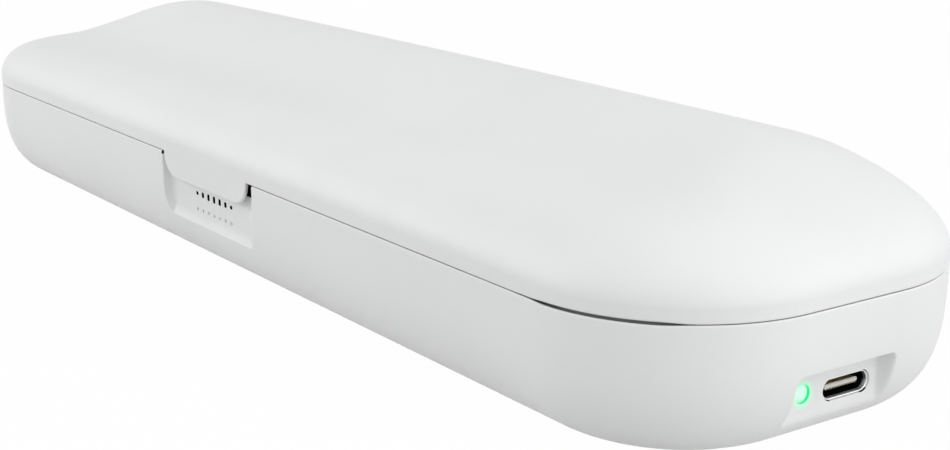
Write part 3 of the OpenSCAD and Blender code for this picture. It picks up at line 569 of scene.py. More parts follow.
def outer_skin(case, front, end, hinge, s, slot_x):
    """Outside of the lower case from the rim down to the light, with masks of painted shade and painted glow.
    The wall's inset comes from tuck_inset. Recess, slots, pin holes, light and socket are pits whose edges
    the grid is bent to."""
    rim = case.seam - case.seam_gap / 2
    half, notch = recess_half(front), end.width / 2
    light_r = end.light_width / 2
    socket_w, socket_h = SOCKET_HALF[0] + end.air, SOCKET_HALF[1] + end.air
    turn = np.radians(np.linspace(90, 0, 6))
    # The rows of one band are bent to the round light and to the socket beside it.
    band, band_h = (LIGHT[1] + SOCKET[1]) / 2 - 0.08 * MM, 1.65 * MM
    z_rows = np.concatenate([
        np.array([20.1, 20.06, 19.98, 19.8, 19.4, 19, 18.7, 18.4, 18.2, 18.12, 18.06, 18]) * MM,
        np.array([17.6, 17, 16.4]) * MM,
        around(front.slot_z, np.array([0, 0.3, 0.57, 0.65, 0.73, 0.85, 1.1]) * MM),
        np.array([13.1, 12.8, 12.5]) * MM, around(front.dot_z, EDGE_STEPS),
        np.array([11.05, 10.8, 10.5, 9.5, 9.4, 9.3, 9.23]) * MM,
        around(band, band_h * LEVELS), np.array([5.6, 5.15]) * MM])
    z_rows = np.unique(np.round(z_rows, 6))[::-1]
    edge_in = np.concatenate([case.edge * (1 - np.cos(turn)), np.zeros(len(z_rows))])
    grid_s, grid_z = np.meshgrid(s, np.concatenate([rim - case.edge * (1 - np.sin(turn)), z_rows]))

    a, b = grid_s.copy(), grid_z.copy()
    slot_half, dot_r, dot_square = front.slot_width / 2, front.dot_width / 2, 0.5 * MM
    for x in slot_x:
        tall = slot_heights(front, np.array([x]))[1][0]
        here = front_s(case, x)
        a, b = fit_patch(a, b, (grid_s - here) / slot_half, (grid_z - front.slot_z) / (0.65 * MM),
                         (here, front.slot_z), (slot_half, tall / 2), SLOT_CORNER, 1.3)
        a, b = fit_patch(a, b, (grid_s - here) / dot_square, (grid_z - front.dot_z) / dot_square,
                         (here, front.dot_z), (dot_r, dot_r), dot_r, 1.35)
    here = end_s(case, LIGHT[0])
    a, b = fit_patch(a, b, (grid_s - here) / light_r, (grid_z - band) / band_h, (here, LIGHT[1]),
                     (light_r, light_r), light_r, 1.6)
    here = end_s(case, SOCKET[0])
    a, b = fit_patch(a, b, (grid_s - here) / socket_w, (grid_z - band) / band_h, (here, SOCKET[1]),
                     (socket_w, socket_h), socket_h, 1.35)
    for way in (-1, 1):
        here = front_s(case, front.middle + way * (half - front.corner))
        a, b = fit_corner(a, b, (here, front.low + front.corner), (way, -1), front.corner, 1.4)
        here = end_s(case, end.middle + way * (notch - end.corner))
        a, b = fit_corner(a, b, (here, end.top - end.corner), (way, 1), end.corner, 1.6)

    wall = tuck_inset(case, b)
    flat_x, _, _, facing = outline_point(case, a, wall)
    beside = np.abs(flat_x - front.middle)
    at_front = (facing < -0.999) & (beside < 30 * MM)
    inset = np.where(at_front, recess_inset(front, flat_x, b, wall), wall)
    off, tall = slot_heights(front, flat_x)
    slot_edge = rounded_gap(off, b - front.slot_z, slot_half, tall / 2, SLOT_CORNER)
    dot_edge = np.hypot(off, b - front.dot_z) - dot_r
    vent = pit_depth(slot_edge, 1.8 * MM, 0.14 * MM) + pit_depth(dot_edge, 0.45 * MM, 0.1 * MM)
    inset = np.where(at_front & (beside < half - 2 * MM), inset + vent, inset)
    slit = smooth(-slit_distance(front, flat_x, b, rim) / (0.06 * MM)) * at_front
    inset = inset + (front.depth + front.slit_depth - inset) * slit
    x, y, _, _ = outline_point(case, a, inset + edge_in[:, None])
    y = hinge_groove(hinge, case, x, y, b, -1, hinge.lid_half + hinge.side_gap)

    floor = case.length / 2 - end.depth
    edge = rounded_gap(y - end.middle, b - end.top + TALL, notch, TALL, end.corner)
    nearer = notch - np.abs(y - end.middle) - end.top + b
    x = sink_in(end, floor, x, y, -edge, smooth(0.5 + nearer / (3 * MM)))
    light_edge = np.hypot(y - LIGHT[0], b - LIGHT[1]) - light_r
    socket_edge = rounded_gap(y - SOCKET[0], b - SOCKET[1], socket_w, socket_h, socket_h)
    pits = pit_depth(light_edge, 3.9 * MM, 0.2 * MM) + pit_depth(socket_edge, 8 * MM, 0.12 * MM)
    x = np.where(x > 100 * MM, x - pits, x)
    at_end = (x < floor - 0.3 * MM) & (x > floor - BEHIND) & (b < 12 * MM)
    # Painted shade: faces deep in the slots, the slits and the socket pit get a nearly black finish for the
    # shade inside them.
    painted_shade = (inset > front.depth + 0.5 * MM) & at_front & (b > front.dot_z + 1 * MM)
    painted_shade |= at_end & (socket_edge < -0.15 * MM)
    # Painted glow: faces in the light's hole are painted as lit green by the LED.
    painted_glow = at_end & (light_edge < 0.01 * MM)
    # Where the seam is drawn shut, the rim and the 2 mm under it rise to meet the lid.
    rise = np.maximum(case.seam_gap / 2 - seam_half(case, grid_s), 0) * smooth((b - rim + 2 * MM) / (2 * MM))
    return np.stack([x, y, b + rise], axis=-1), painted_shade, painted_glow


def under_skin(case, end, s, holes):
    """Underside of the lower case, in to the flat middle, with the screw holes as pits."""
    middle_row = 12.3 * MM
    inset_rows = np.unique(np.concatenate([
        np.array([3.1, 3.6, 4.3, 5.1, 6, 6.9, 7.8, 8.7, 9.4]) * MM,
        around(middle_row, SCREW_HOLE * LEVELS[:-1]), np.array([15.05, 15.3, 15.45, 15.5]) * MM]))
    grid_s, depth = np.meshgrid(s, inset_rows)
    x, y, _, _ = outline_point(case, grid_s, depth)
    pit = np.zeros_like(x)
    for s0, span, hole_x, hole_y, angle in holes:
        p, q = (grid_s - s0) / span, (depth - middle_row) / SCREW_HOLE
        x, y = fit_patch(x, y, q, -p, (hole_x, hole_y), (SCREW_HOLE,) * 2, SCREW_HOLE, 1.15,
                         angle + math.pi)
        edge = np.hypot(x - hole_x, y - hole_y) - SCREW_HOLE
        pit = np.maximum(pit, pit_depth(edge, 3.9 * MM, 0.2 * MM))
    radius = np.where(x > 0, case.near_radius, case.far_radius)
    ahead, beyond = np.abs(x) - case.length / 2 + radius, np.abs(y) - case.width / 2 + radius
    depth = np.where((ahead > 0) & (beyond > 0), radius - np.hypot(ahead, beyond), depth)
    floor = case.length / 2 - end.depth
    reach = end.width / 2 - np.abs(y - end.middle)
    return np.stack([sink_in(end, floor, x, y, reach, 0), y, tuck_height(case, depth) + pit], axis=-1)


def inner_skin(case, front, end, s):
    """Inside of the lower case from the floor up: the outside moved in by the wall, with a pad behind the
    finger recess and room for the socket and the light behind the end recess."""
    rows = np.linspace(0, 1, 13) ** 0.7
    height = 2 * MM + (case.seam - case.seam_gap / 2 - 2.8 * MM) * rows
    share = 1 - (1 - (1 - rows) ** case.tuck_down) ** (1 / case.tuck_across)
    grid_s, inset = np.meshgrid(s, case.wall + (case.tuck - 0.6 * case.wall) * share)
    z = np.repeat(height[:, None], len(s), axis=1)
    flat_x, _, _, facing = outline_point(case, grid_s, 0 * inset)
    pad = (facing < -0.999) & (np.abs(flat_x - front.middle) < pad_half(front)) & (z > 7 * MM)
    inset = np.where(pad, np.maximum(inset, front.depth + 2 * MM), inset)
    x, y, _, _ = outline_point(case, grid_s, inset)
    near = (np.abs(y - end.middle) < end.width / 2 + 0.8 * MM) & (z < end.top + 1.2 * MM) & (x > 100 * MM)
    x = np.where(near, np.minimum(x, case.length / 2 - end.depth - BEHIND), x)
    return np.stack([x, y, z], axis=-1)


def lower_case_part(case, front, end, hinge):
    """Lower case as one grid: columns along the outline, rows from the inner floor up to the rim and down the
    outside to the underside."""
    most = (front.slots - 1) // 2
    slot_x = front.middle + np.arange(-most, most + 1) * front.pitch
    holes = screw_holes(case)
    s = case_columns(case, front, end, hinge, slot_x, holes)
    outer, painted_shade, painted_glow = outer_skin(case, front, end, hinge, s, slot_x)
    inner = inner_skin(case, front, end, s)
    top = inner[-1] + (outer[0] - inner[-1]) * np.array([0.15, 0.5, 0.85])[:, None, None]
    rows = np.concatenate([inner, top, outer, under_skin(case, end, s, holes)])
    points, faces, _ = skin(rows)
    finish = np.zeros(len(faces), dtype=int)
    first = len(inner) + len(top)
    # Marked faces take the painted shade (1) or the painted glow of the light's hole (2).
    for index, mask in ((1, painted_shade), (2, painted_glow)):
        marked = np.zeros(rows.shape[:2], dtype=bool)
        marked[first:first + len(outer)] = mask
        finish[marked.reshape(-1)[np.array(faces)].any(axis=1)] = index
    return points, faces + caps(len(rows), len(s)), finish.tolist() + [0, 0]


def lid_height(case, x, y, inset):
    """Height of the lid above the lip, and the share of its drop that an inner skin has there. The rolled
    edge is rise (1 - (1 - d)^across)^(1/lip), with d the inset over its run. The broad top is level with a
    slight tilt, bow and crown, less the drop where the front shelf lies, faded to the socket end. The height
    is the lower of the two less max(blend - |difference|, 0)^2 / (4 blend). The share of the drop is
    sqrt(1 - (1 - d)^2), with d the inset over the skin's run."""
    d = np.minimum(inset / case.roll_run, 1)
    roll = case.roll_rise * (1 - (1 - d) ** case.roll_across) ** (1 / case.roll_lip)
    along = x + case.length / 2
    middle = case.wave_middle - case.wave_drift * along / case.length
    shelf = 1 - smooth((y - middle + case.wave_width / 2) / case.wave_width)
    fade = 1 - smooth((along - case.fade_start) / case.fade_run)
    t = 2 * x / case.length
    across = 2 * (y - case.top_line) / case.width
    top = case.top_rise + case.top_tilt * t - case.top_bow * t ** 2 - case.top_fall * across ** 2
    top = top - case.wave_drop * shelf * fade
    near = np.maximum(case.top_blend - np.abs(roll - top), 0)
    cover = np.sqrt(1 - (1 - np.minimum(inset / case.skin_run, 1)) ** 2)
    return np.minimum(roll, top) - near ** 2 / (4 * case.top_blend), cover


def dome_rows(case, s, steps, move_in, move_down):
    """Rows of a lid skin from the side to the middle line, moved in and down: inset = half width t^2.6."""
    inset = case.width / 2 * np.linspace(0, 1, steps) ** 2.6
    grid_s, grid_d = np.meshgrid(s, inset)
    shift = grid_d + move_in * (1 - grid_d / (case.width / 2))
    x, y, _, _ = outline_point(case, grid_s, shift)
    rise, cover = lid_height(case, x, y, grid_d)
    return np.stack([x, y, case.seam + case.lip + rise - move_down * cover], axis=-1)


def side_marks(case, knots):
    """Distances along the outline of the same x on the front and on the back."""
    return np.concatenate([front_s(case, knots), back_s(case, knots)])


def lid_part(case, front, hinge):
    """Outer and inner skin of the lid in one grid: dome rows out to the lip, down the lip to the lower edge,
    round that edge and back up inside. The lower edge follows the tab: level, a quarter circle at each
    corner, and upright at its sides."""
    total = stretch_lengths(case).sum()
    half = front.tab_width / 2
    flat = half - front.tab_radius
    swing = flat + front.tab_radius * np.sin(np.radians(np.arange(10, 90, 8)))
    tab = np.concatenate([[0, flat * 0.33, flat * 0.66, flat], swing,
                          half + np.array([0, 0.04, 0.4, 1, 2.5]) * MM])
    case_far = hinge.lid_half + 2 * hinge.side_gap + hinge.case_knuckle
    cut = np.concatenate([around(hinge.place, [hinge.lid_half - 0.03 * MM, hinge.lid_half + 0.03 * MM]),
                          around(hinge.place, [case_far - 0.03 * MM, case_far + 0.03 * MM])])
    knots = np.concatenate([around(front.tab_middle, tab), cut, -cut])
    marks = np.concatenate([side_marks(case, knots), corner_marks(case, 28)])
    s = places(marks, 5 * MM, total)
    low = case.seam + seam_half(case, s)

    top = dome_rows(case, s, 60, 0, 0)[::-1]
    x0, y0, nx, ny = outline_point(case, s, 0 * s)
    u = np.abs(x0 - front.tab_middle)
    on_tab = (ny < -0.999) & (u < half + 0.01 * MM)
    lean = np.clip((u - flat) / front.tab_radius, 0, 1)
    lean = np.where(on_tab & (u > flat), lean, 0)
    upright = np.sqrt(1 - lean ** 2)
    edge_z = np.where(on_tab, front.tab_low + front.tab_radius * (1 - upright), low)
    out_x = np.where(on_tab, np.sign(x0 - front.tab_middle) * lean, 0)
    out_z = -np.where(on_tab, upright, 1)

    def ring(depth, back):
        """Ring near the lower edge: depth in from the outer face, and back from the edge in its own plane."""
        px = x0 - nx * depth - out_x * back
        return np.stack([px, y0 - ny * depth, edge_z - out_z * back], axis=-1)

    r = case.edge
    start = ring(0 * s, r)
    share = np.linspace(0, 1, 14)[1:-1, None, None]
    lip = top[-1] + (start - top[-1]) * share
    turn = np.radians(np.linspace(0, 90, 6))
    bend = [ring(r * (1 - math.cos(t)), r * (1 - math.sin(t))) for t in turn]
    rim = np.where(on_tab, front.tab_rim, 0.55 * MM)
    thick = np.where(on_tab, front.tab_thick, 0.6 * MM)
    step = np.where(on_tab, front.tab_step, 0)
    inner_bend = [ring(rim - r * 0.6 * (1 - math.sin(t)), r * 0.6 * (1 - math.cos(t)))
                  for t in np.radians(np.linspace(0, 90, 4))]
    inner_bend += [ring(rim, step), ring(thick, step + 0.1 * MM)]
    # On the tab the inside goes up to a ledge at the seam's height, and from there over to the wall.
    ledge = ring(thick, step + 0.18 * MM)
    ledge[:, 2] = np.where(on_tab, low + 0.3 * MM, ledge[:, 2])
    inside_x, inside_y, _, _ = outline_point(case, s, 0 * s + case.wall)
    back = np.stack([inside_x, inside_y, low + 1.5 * MM], axis=-1)
    under = dome_rows(case, s, 34, case.wall, case.wall)
    rise = back + (under[0] - back) * np.array([0.5])[:, None, None]
    rows = np.concatenate([top, lip, np.array(bend), np.array(inner_bend), ledge[None], back[None],
                           rise, under])
    x, y, z = np.moveaxis(rows, -1, 0)
    rows[..., 1] = hinge_groove(hinge, case, x, y, z, hinge.lid_half, case_far)
    return skin(rows)


def liner_part(case, flange_z, inset, thick):
    """Liner of the lid: a dome skin moved in and down inside the lid, its inner skin one thickness further,
    and a flat flange round its foot."""
    total = stretch_lengths(case).sum()
    s = places(np.concatenate([side_marks(case, np.linspace(-80, 80, 17) * MM), corner_marks(case, 20)]),
               9 * MM, total)
    outer = dome_rows(case, s, 30, inset, case.wall + 0.6 * MM)
    inner = dome_rows(case, s, 44, inset + thick, case.wall + 0.6 * MM + thick)

    def ring(depth, z):
        x, y, _, _ = outline_point(case, s, 0 * s + depth)
        return np.stack([x, y, np.full_like(s, z)], axis=-1)

    rim = case.wall + 0.3 * MM
    soft = 0.25 * MM
    over = flange_z + 0.8 * MM
    foot = [ring(inset, over), ring(rim + soft, over), ring(rim, over - soft), ring(rim, flange_z + soft),
            ring(rim + soft, flange_z),
            ring(inset + thick - soft, flange_z), ring(inset + thick - 0.3 * soft, flange_z + 0.3 * soft),
            ring(inset + thick, flange_z + soft)]
    return skin(np.concatenate([outer[::-1], np.array(foot), inner]))


def rounded_ring(x, centre, half_y, half_z, radius, steps=10):
    """Rounded rectangle at one x: four quarter circles about points that lie the radius in from the sides."""
    arc = np.radians(np.linspace(0, 90, steps))
    angle = np.concatenate([arc + k * math.pi / 2 for k in range(4)])
    way_y = np.repeat([1, -1, -1, 1], steps)
    way_z = np.repeat([1, 1, -1, -1], steps)
    y = centre[0] + way_y * (half_y - radius) + radius * np.cos(angle)
    z = centre[1] + way_z * (half_z - radius) + radius * np.sin(angle)
    return np.stack([np.full_like(y, x), y, z], axis=-1)


def oval_rings(profile, half):
    """Rings about the socket's middle with round ends, from rows of x and millimetres in from the outside."""
    almost = 0.02 * MM
    return [rounded_ring(x, SOCKET, half[0] - d * MM, half[1] - d * MM, half[1] - d * MM - almost)
            for x, d in profile]


def ring_part(rings, finish, closed=False):
    """Skin over rings, with one finish for each step between two rings and flat ends unless it is closed."""
    points, faces, _ = skin(np.array(rings))
    index = np.repeat(finish, len(rings[0])).tolist()
    if not closed:
        faces += caps(len(rings), len(rings[0]))
        index += [finish[0], finish[-1]]
    return points, faces, index


def revolved_part(profile, centre, steps=48):
    """Surface turned about an axis along X through centre: profile is rows of x and radius."""
    profile = np.asarray(profile)
    angle = np.linspace(0, 2 * np.pi, steps, endpoint=False)
    x = np.repeat(profile[:, :1], steps, axis=1)
    y = centre[0] + profile[:, 1:] * np.cos(angle)
    z = centre[1] + profile[:, 1:] * np.sin(angle)
    return skin(np.stack([x, y, z], axis=-1))


# Finishes

def new_material(name):
    """A material with its node tree and its main shader."""
    made = bpy.data.materials.new(name)
    made.use_nodes = True
    return made, made.node_tree, made.node_tree.nodes["Principled BSDF"]


def feed(tree, node, inputs):
    """Sets a node's inputs: a link where the value is another node's output, else the value itself."""
    for key, value in inputs.items():
        if isinstance(value, bpy.types.NodeSocket):
            tree.links.new(value, node.inputs[key])
        else:
            node.inputs[key].default_value = value


def add_node(tree, kind, output, inputs, **settings):
    """One output of a new node with its own settings and its inputs."""
    node = tree.nodes.new("ShaderNode" + kind)
    for key, value in settings.items():
        setattr(node, key, value)
    feed(tree, node, inputs)
    return node.outputs[output]


def noise(tree, scale, detail=2.0, rough=0.5, stretch=None):
    """Noise on the piece's own coordinates, features about 1 / scale metres wide."""
    place = add_node(tree, "TexCoord", "Object", {})
    if stretch is not None:
        place = add_node(tree, "Mapping", "Vector", {"Vector": place, "Scale": stretch})
    return add_node(tree, "TexNoise", "Fac", {"Vector": place, "Scale": scale, "Detail": detail,
                                              "Roughness": rough})


def carry(tree, value, start, end, low, high, **settings):
    """Value from start to end carried over to low and high, and held there beyond."""
    return add_node(tree, "MapRange", "Result", {"Value": value, "From Min": start, "From Max": end,
                                                 "To Min": low, "To Max": high}, **settings)


def spread(tree, value, low, high):
    """Noise value, from 0.3 to 0.7, carried over to low and high."""
    return carry(tree, value, 0.3, 0.7, low, high)


def blend_colour(tree, factor, low, high):
    """Colour by a factor between low, a colour or another node's output, and the colour high."""
    low = low if isinstance(low, bpy.types.NodeSocket) else (*low, 1)
    return add_node(tree, "Mix", "Result", {"Factor": factor, "A": low, "B": (*high, 1)}, data_type="RGBA")


def bump(tree, shader, height, strength, distance):
    """Bump from a height, with the distance in millimetres."""
    normal = add_node(tree, "Bump", "Normal", {"Strength": strength, "Distance": distance * MM,
                                               "Height": height})
    feed(tree, shader, {"Normal": normal})


def shade(colour, factor):
    """Colour times a factor."""
    return tuple(min(1.0, c * factor) for c in colour)


def paint_glow_round(tree, shader, base, centre, near, far, colour):
    """Painted glow round a light: a green tint and emission painted on the plastic, full up to near from the
    centre, gone at far.
    """
    tint, power = (0.62, 0.84, 0.7), 0.24
    place = add_node(tree, "TexCoord", "Object", {})
    reach = add_node(tree, "VectorMath", "Value", {0: place, 1: centre}, operation="DISTANCE")
    fall = carry(tree, reach, far, near, 0, 1, interpolation_type="SMOOTHSTEP")
    strength = add_node(tree, "Math", "Value", {0: fall, 1: power}, operation="MULTIPLY")
    feed(tree, shader, {"Base Color": blend_colour(tree, fall, base, tint),
                        "Emission Strength": strength, "Emission Color": (*colour, 1)})


def plastic(name, colour, rough=(0.4, 0.52), relief=0.12, glow=None):
    """Moulded plastic: slow drift of tone, fine satin grain, rougher patches and sharp edges a little
    lighter.
    """
    made, tree, shader = new_material(name)
    drift = spread(tree, noise(tree, 28, 3), 0, 1)
    tone = blend_colour(tree, drift, shade(colour, 0.985), shade(colour, 1.015))
    edge = add_node(tree, "NewGeometry", "Pointiness", {})
    tone = blend_colour(tree, carry(tree, edge, 0.52, 0.6, 0, 1), tone, shade(colour, 1.02))
    feed(tree, shader, {"Base Color": tone, "IOR": 1.48,
                        "Roughness": spread(tree, noise(tree, 420, 4, 0.6), *rough)})
    # With glow, the light's glow is painted on the plastic round it.
    if glow:
        paint_glow_round(tree, shader, tone, *glow)
    bump(tree, shader, noise(tree, 4200, 3, 0.6), relief, 0.02)
    return made


def metal(name, colour, rough, stretch):
    """Drawn or plated metal: roughness and faint scratches stretched along one direction."""
    made, tree, shader = new_material(name)
    streak = noise(tree, 900, 3, 0.6, stretch)
    tone = blend_colour(tree, spread(tree, streak, 0, 1), shade(colour, 0.94), shade(colour, 1.04))
    feed(tree, shader, {"Base Color": tone, "Roughness": spread(tree, streak, *rough), "Metallic": 1})
    bump(tree, shader, streak, 0.1, 0.01)
    return made


def rubber(name, colour):
    """Soft moulded foam rubber: matt, with fine open grain and a light sheen."""
    made, tree, shader = new_material(name)
    cell = noise(tree, 2600, 5, 0.7)
    tone = blend_colour(tree, spread(tree, cell, 0, 1), shade(colour, 0.8), shade(colour, 1.25))
    feed(tree, shader, {"Base Color": tone, "Sheen Weight": 0.15,
                        "Roughness": spread(tree, noise(tree, 300, 3), 0.75, 0.95)})
    bump(tree, shader, cell, 0.5, 0.06)
    return made


def painted_shade_inside(name):
    """Painted shade for the unlit inside of slots, slits and socket pit: nearly black, with a faint grain."""
    made, tree, shader = new_material(name)
    shade_grain = spread(tree, noise(tree, 1500, 3), 0, 1)
    tone = blend_colour(tree, shade_grain, (0.004, 0.004, 0.005), (0.012, 0.012, 0.013))
    feed(tree, shader, {"Base Color": tone,
                        "Roughness": spread(tree, noise(tree, 700, 2), 0.8, 0.95),
                        "Specular IOR Level": 0.2})
    bump(tree, shader, noise(tree, 2500, 3), 0.2, 0.02)
    return made


def winding(name, colour, centre):
    """Enamelled wire: rings about the coil's axis, darker between the turns."""
    made, tree, shader = new_material(name)
    place = add_node(tree, "TexCoord", "Object", {})
    place = add_node(tree, "Mapping", "Vector", {"Vector": place, "Location": tuple(-c for c in centre)})
    wave = add_node(tree, "TexWave", "Fac", {"Vector": place, "Scale": 900, "Distortion": 0.4},
                    wave_type="RINGS", rings_direction="X")
    feed(tree, shader, {"Base Color": blend_colour(tree, wave, shade(colour, 0.35), colour), "Metallic": 0.8,
                        "Roughness": spread(tree, noise(tree, 600, 3), 0.3, 0.45)})
    bump(tree, shader, wave, 0.6, 0.1)
    return made


def circuit_board(name):
    """Green board: solder mask with a fine net of traces under it."""
    made, tree, shader = new_material(name)
    brick = tree.nodes.new("ShaderNodeTexBrick")
    brick.offset, brick.squash = 0.5, 0.6
    feed(tree, brick, {"Vector": add_node(tree, "TexCoord", "Object", {}), "Scale": 260, "Mortar Size": 0.05,
                       "Color1": (0.012, 0.1, 0.045, 1), "Color2": (0.015, 0.12, 0.055, 1),
                       "Mortar": (0.03, 0.22, 0.1, 1)})
    feed(tree, shader, {"Base Color": brick.outputs["Color"],
                        "Roughness": spread(tree, noise(tree, 500, 3), 0.25, 0.4)})
    bump(tree, shader, brick.outputs["Fac"], 0.3, 0.03)
    return made


def lit_resin(name, colour, base, power):
    """Resin lit from behind: its own pale body colour, and light that varies a little over it."""
    made, tree, shader = new_material(name)
    cloud = spread(tree, noise(tree, 900, 3), 0, 1)
    feed(tree, shader, {"Base Color": blend_colour(tree, cloud, shade(base, 0.92), base),
                        "Emission Color": blend_colour(tree, cloud, shade(colour, 0.9), colour),
                        "Emission Strength": power,
                        "Roughness": spread(tree, noise(tree, 1800, 3), 0.35, 0.55)})
    bump(tree, shader, noise(tree, 5200, 2), 0.15, 0.02)
    return made


def seen_directly(tree):
    """One for rays from the camera, off gloss or through glass, and zero for the light that is cast."""
    path = tree.nodes.new("ShaderNodeLightPath")
    seen = path.outputs["Is Camera Ray"]
    for kind in ("Is Glossy Ray", "Is Transmission Ray"):
        seen = add_node(tree, "Math", "Value", {0: seen, 1: path.outputs[kind]}, operation="MAXIMUM")
    return seen


# Operators, one for each piece or group of like pieces

def stand_in(obj, body, slot, *nodes):
    """The piece rides on its body and replaces its CAD nodes; its slot argument is not used."""
    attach(obj, body)
    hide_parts(*nodes)


def dress(node, made):
    """Puts a finish on a CAD node's own slots."""
    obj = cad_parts[node]
    if not obj.material_slots:
        obj.data.materials.append(made)
    for slot in obj.material_slots:
        slot.material = made


def softened(node, name, made, radius, body, slot, segments=2):
    """Copy of a CAD node with merged points, flat faces joined and edges rounded to a radius."""
    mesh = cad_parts[node].data.copy()
    work = bmesh.new()
    work.from_mesh(mesh)
    bmesh.ops.remove_doubles(work, verts=work.verts, dist=1e-6)
    bmesh.ops.dissolve_limit(work, angle_limit=math.radians(0.5), verts=work.verts, edges=work.edges)
    work.to_mesh(mesh)
    work.free()
    mesh.polygons.foreach_set("use_smooth", np.ones(len(mesh.polygons), dtype=bool))
    mesh.set_sharp_from_angle(angle=math.radians(35))
    mesh.materials.clear()
    mesh.materials.append(made)
    obj = bpy.data.objects.new(name, mesh)
    bpy.context.scene.collection.objects.link(obj)
    soften = obj.modifiers.new("soft_edges", "BEVEL")
    soften.width = radius
    soften.segments = segments
    soften.limit_method = "ANGLE"
    soften.angle_limit = math.radians(40)
    soften.harden_normals = True
    stand_in(obj, body, slot, node)
    return obj


class LowerCase(Operator):
    """Lower case with finger recess, air slots, end recess and hinge knuckles"""
    bl_idname = "travel_case.lower_case"
    bl_label = "Lower case"

    def execute(self, context):
        scene = context.scene
        case, front, end, hinge = scene.case_shape, scene.front_shape, scene.end_shape, scene.hinge_shape
        parts = [lower_case_part(case, front, end, hinge)]
        inner = hinge.lid_half + hinge.side_gap
        for way in (-1, 1):
            for x0 in (way * hinge.place - inner - hinge.case_knuckle, way * hinge.place + inner):
                parts.append(knuckle_part(hinge, case, x0, x0 + hinge.case_knuckle, -1,
                                          case.width / 2 - 0.25 * MM, case.seam - 6.3 * MM))
        spot = (case.length / 2 - end.depth, *LIGHT)
        glow = (spot, end.light_width / 2, end.light_width / 2 + 1 * MM, scene.finishes.glow)
        plastic("white_satin", scene.finishes.shell)
        # A copy of the white finish with the status light's glow painted round its hole.
        white = plastic("white_satin_painted_glow", scene.finishes.shell, glow=glow)
        # Painted shade for the slots, slits and socket pit.
        painted_shade = painted_shade_inside("painted_shade_inside")
        # Painted glow of the status light on the wall of its hole.
        painted_glow = lit_resin("painted_glow_wall", scene.finishes.glow, (0.02, 0.3, 0.12), 0.75)
        obj = add_mesh("lower_case", parts, [white, painted_shade, painted_glow])
        stand_in(obj, "base", "white_shell", "base_shell")
        return {"FINISHED"}


class Lid(Operator):
    """Lid with the wave, the front tab and the hinge knuckles"""
    bl_idname = "travel_case.lid"
    bl_label = "Lid"

    def execute(self, context):
        scene = context.scene
        case, front, hinge = scene.case_shape, scene.front_shape, scene.hinge_shape
        parts = [lid_part(case, front, hinge)]
        for way in (-1, 1):
            x0 = way * hinge.place - hinge.lid_half
            parts.append(knuckle_part(hinge, case, x0, x0 + 2 * hinge.lid_half, 1,
                                      case.width / 2 - 1.2 * MM, case.seam + case.lip + 1.9 * MM))
        obj = add_mesh("lid", parts, [bpy.data.materials["white_satin"]])
        stand_in(obj, "lid", "white_shell", "lid_shell")
        return {"FINISHED"}


class LidLiner(Operator):
    """Smooth liner inside the lid"""
    bl_idname = "travel_case.lid_liner"
    bl_label = "Lid liner"

    def execute(self, context):
        scene = context.scene
        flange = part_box("lid_liner")[0].z
        part = liner_part(scene.case_shape, flange, scene.case_shape.wall + 2.7 * MM, 1 * MM)
        obj = add_mesh("liner", [part], [plastic("inner_satin", scene.finishes.inside, rough=(0.5, 0.62),
                                                 relief=0.2)])
        stand_in(obj, "lid", "inner_plastic", "lid_liner")
        return {"FINISHED"}


class Tray(Operator):
    """Tray of the lower case: the CAD mesh cleaned, its edges rounded and finished in pale satin"""
    bl_idname = "travel_case.tray"
    bl_label = "Tray"

    def execute(self, context):
        softened("base_tray", "tray", bpy.data.materials["inner_satin"], 0.25 * MM, "base", "inner_plastic")
        return {"FINISHED"}


class Socket(Operator):
    """Socket: steel shell with a rounded lip, tongue and gilded contacts"""
    bl_idname = "travel_case.socket"
    bl_label = "Socket"

    def execute(self, context):
        # Each profile is rows of x and how far in from the outside, in millimetres.
        back, tip, wall = SOCKET_LOW.x, SOCKET_HIGH.x, 0.3
        lip = [(back, wall), (tip - 0.65 * MM, wall), (tip - 0.22 * MM, 0.29), (tip - 0.05 * MM, 0.24),
               (tip, 0.16), (tip - 0.02 * MM, 0.07), (tip - 0.1 * MM, 0.01), (tip - 0.2 * MM, 0), (back, 0),
               (back, wall)]
        steel = metal("socket_shell", (0.86, 0.87, 0.88), (0.34, 0.46), DRAWN)
        # Painted shade: the shell's inside past 0.65 mm from the tip, its back end and the tongue's foot are
        # nearly black, for the shade deep in the socket.
        painted_shade_metal = metal("socket_painted_shade", (0.022, 0.03, 0.034), (0.3, 0.5), DRAWN)
        shell = ring_part(oval_rings(lip, SOCKET_HALF), [1, 0, 0, 0, 0, 0, 0, 0, 1], closed=True)
        obj = add_mesh("socket", [shell], [steel, painted_shade_metal])
        stand_in(obj, "base", "steel", "usb_shell")
        back, tip = TONGUE_LOW.x, TONGUE_HIGH.x - 0.1 * MM
        foot = [(back + 1.4 * MM, 0.1), (back + 1.3 * MM, 0), (back, 0)]
        blade = [(tip, 0.2), (tip - 0.04 * MM, 0.1), (tip - 0.14 * MM, 0.02), (tip - 0.3 * MM, 0),
                 (back + 1 * MM, 0)]
        wide = [rounded_ring(x, SOCKET, (3.2 - d) * MM, (0.33 - d) * MM, (0.22 - 0.9 * d) * MM, 6)
                for x, d in blade]
        grey = plastic("tongue_grey", context.scene.finishes.tongue, rough=(0.45, 0.6))
        parts = [ring_part(oval_rings(foot, TONGUE_HALF), [1, 1]), ring_part(wide, [0, 0, 0, 0])]
        obj = add_mesh("tongue", parts, [grey, painted_shade_metal])
        stand_in(obj, "base", "tongue", "usb_tongue")
        dress("usb_contacts", metal("contact_gold", (0.85, 0.62, 0.25), (0.15, 0.28), DRAWN))
        return {"FINISHED"}


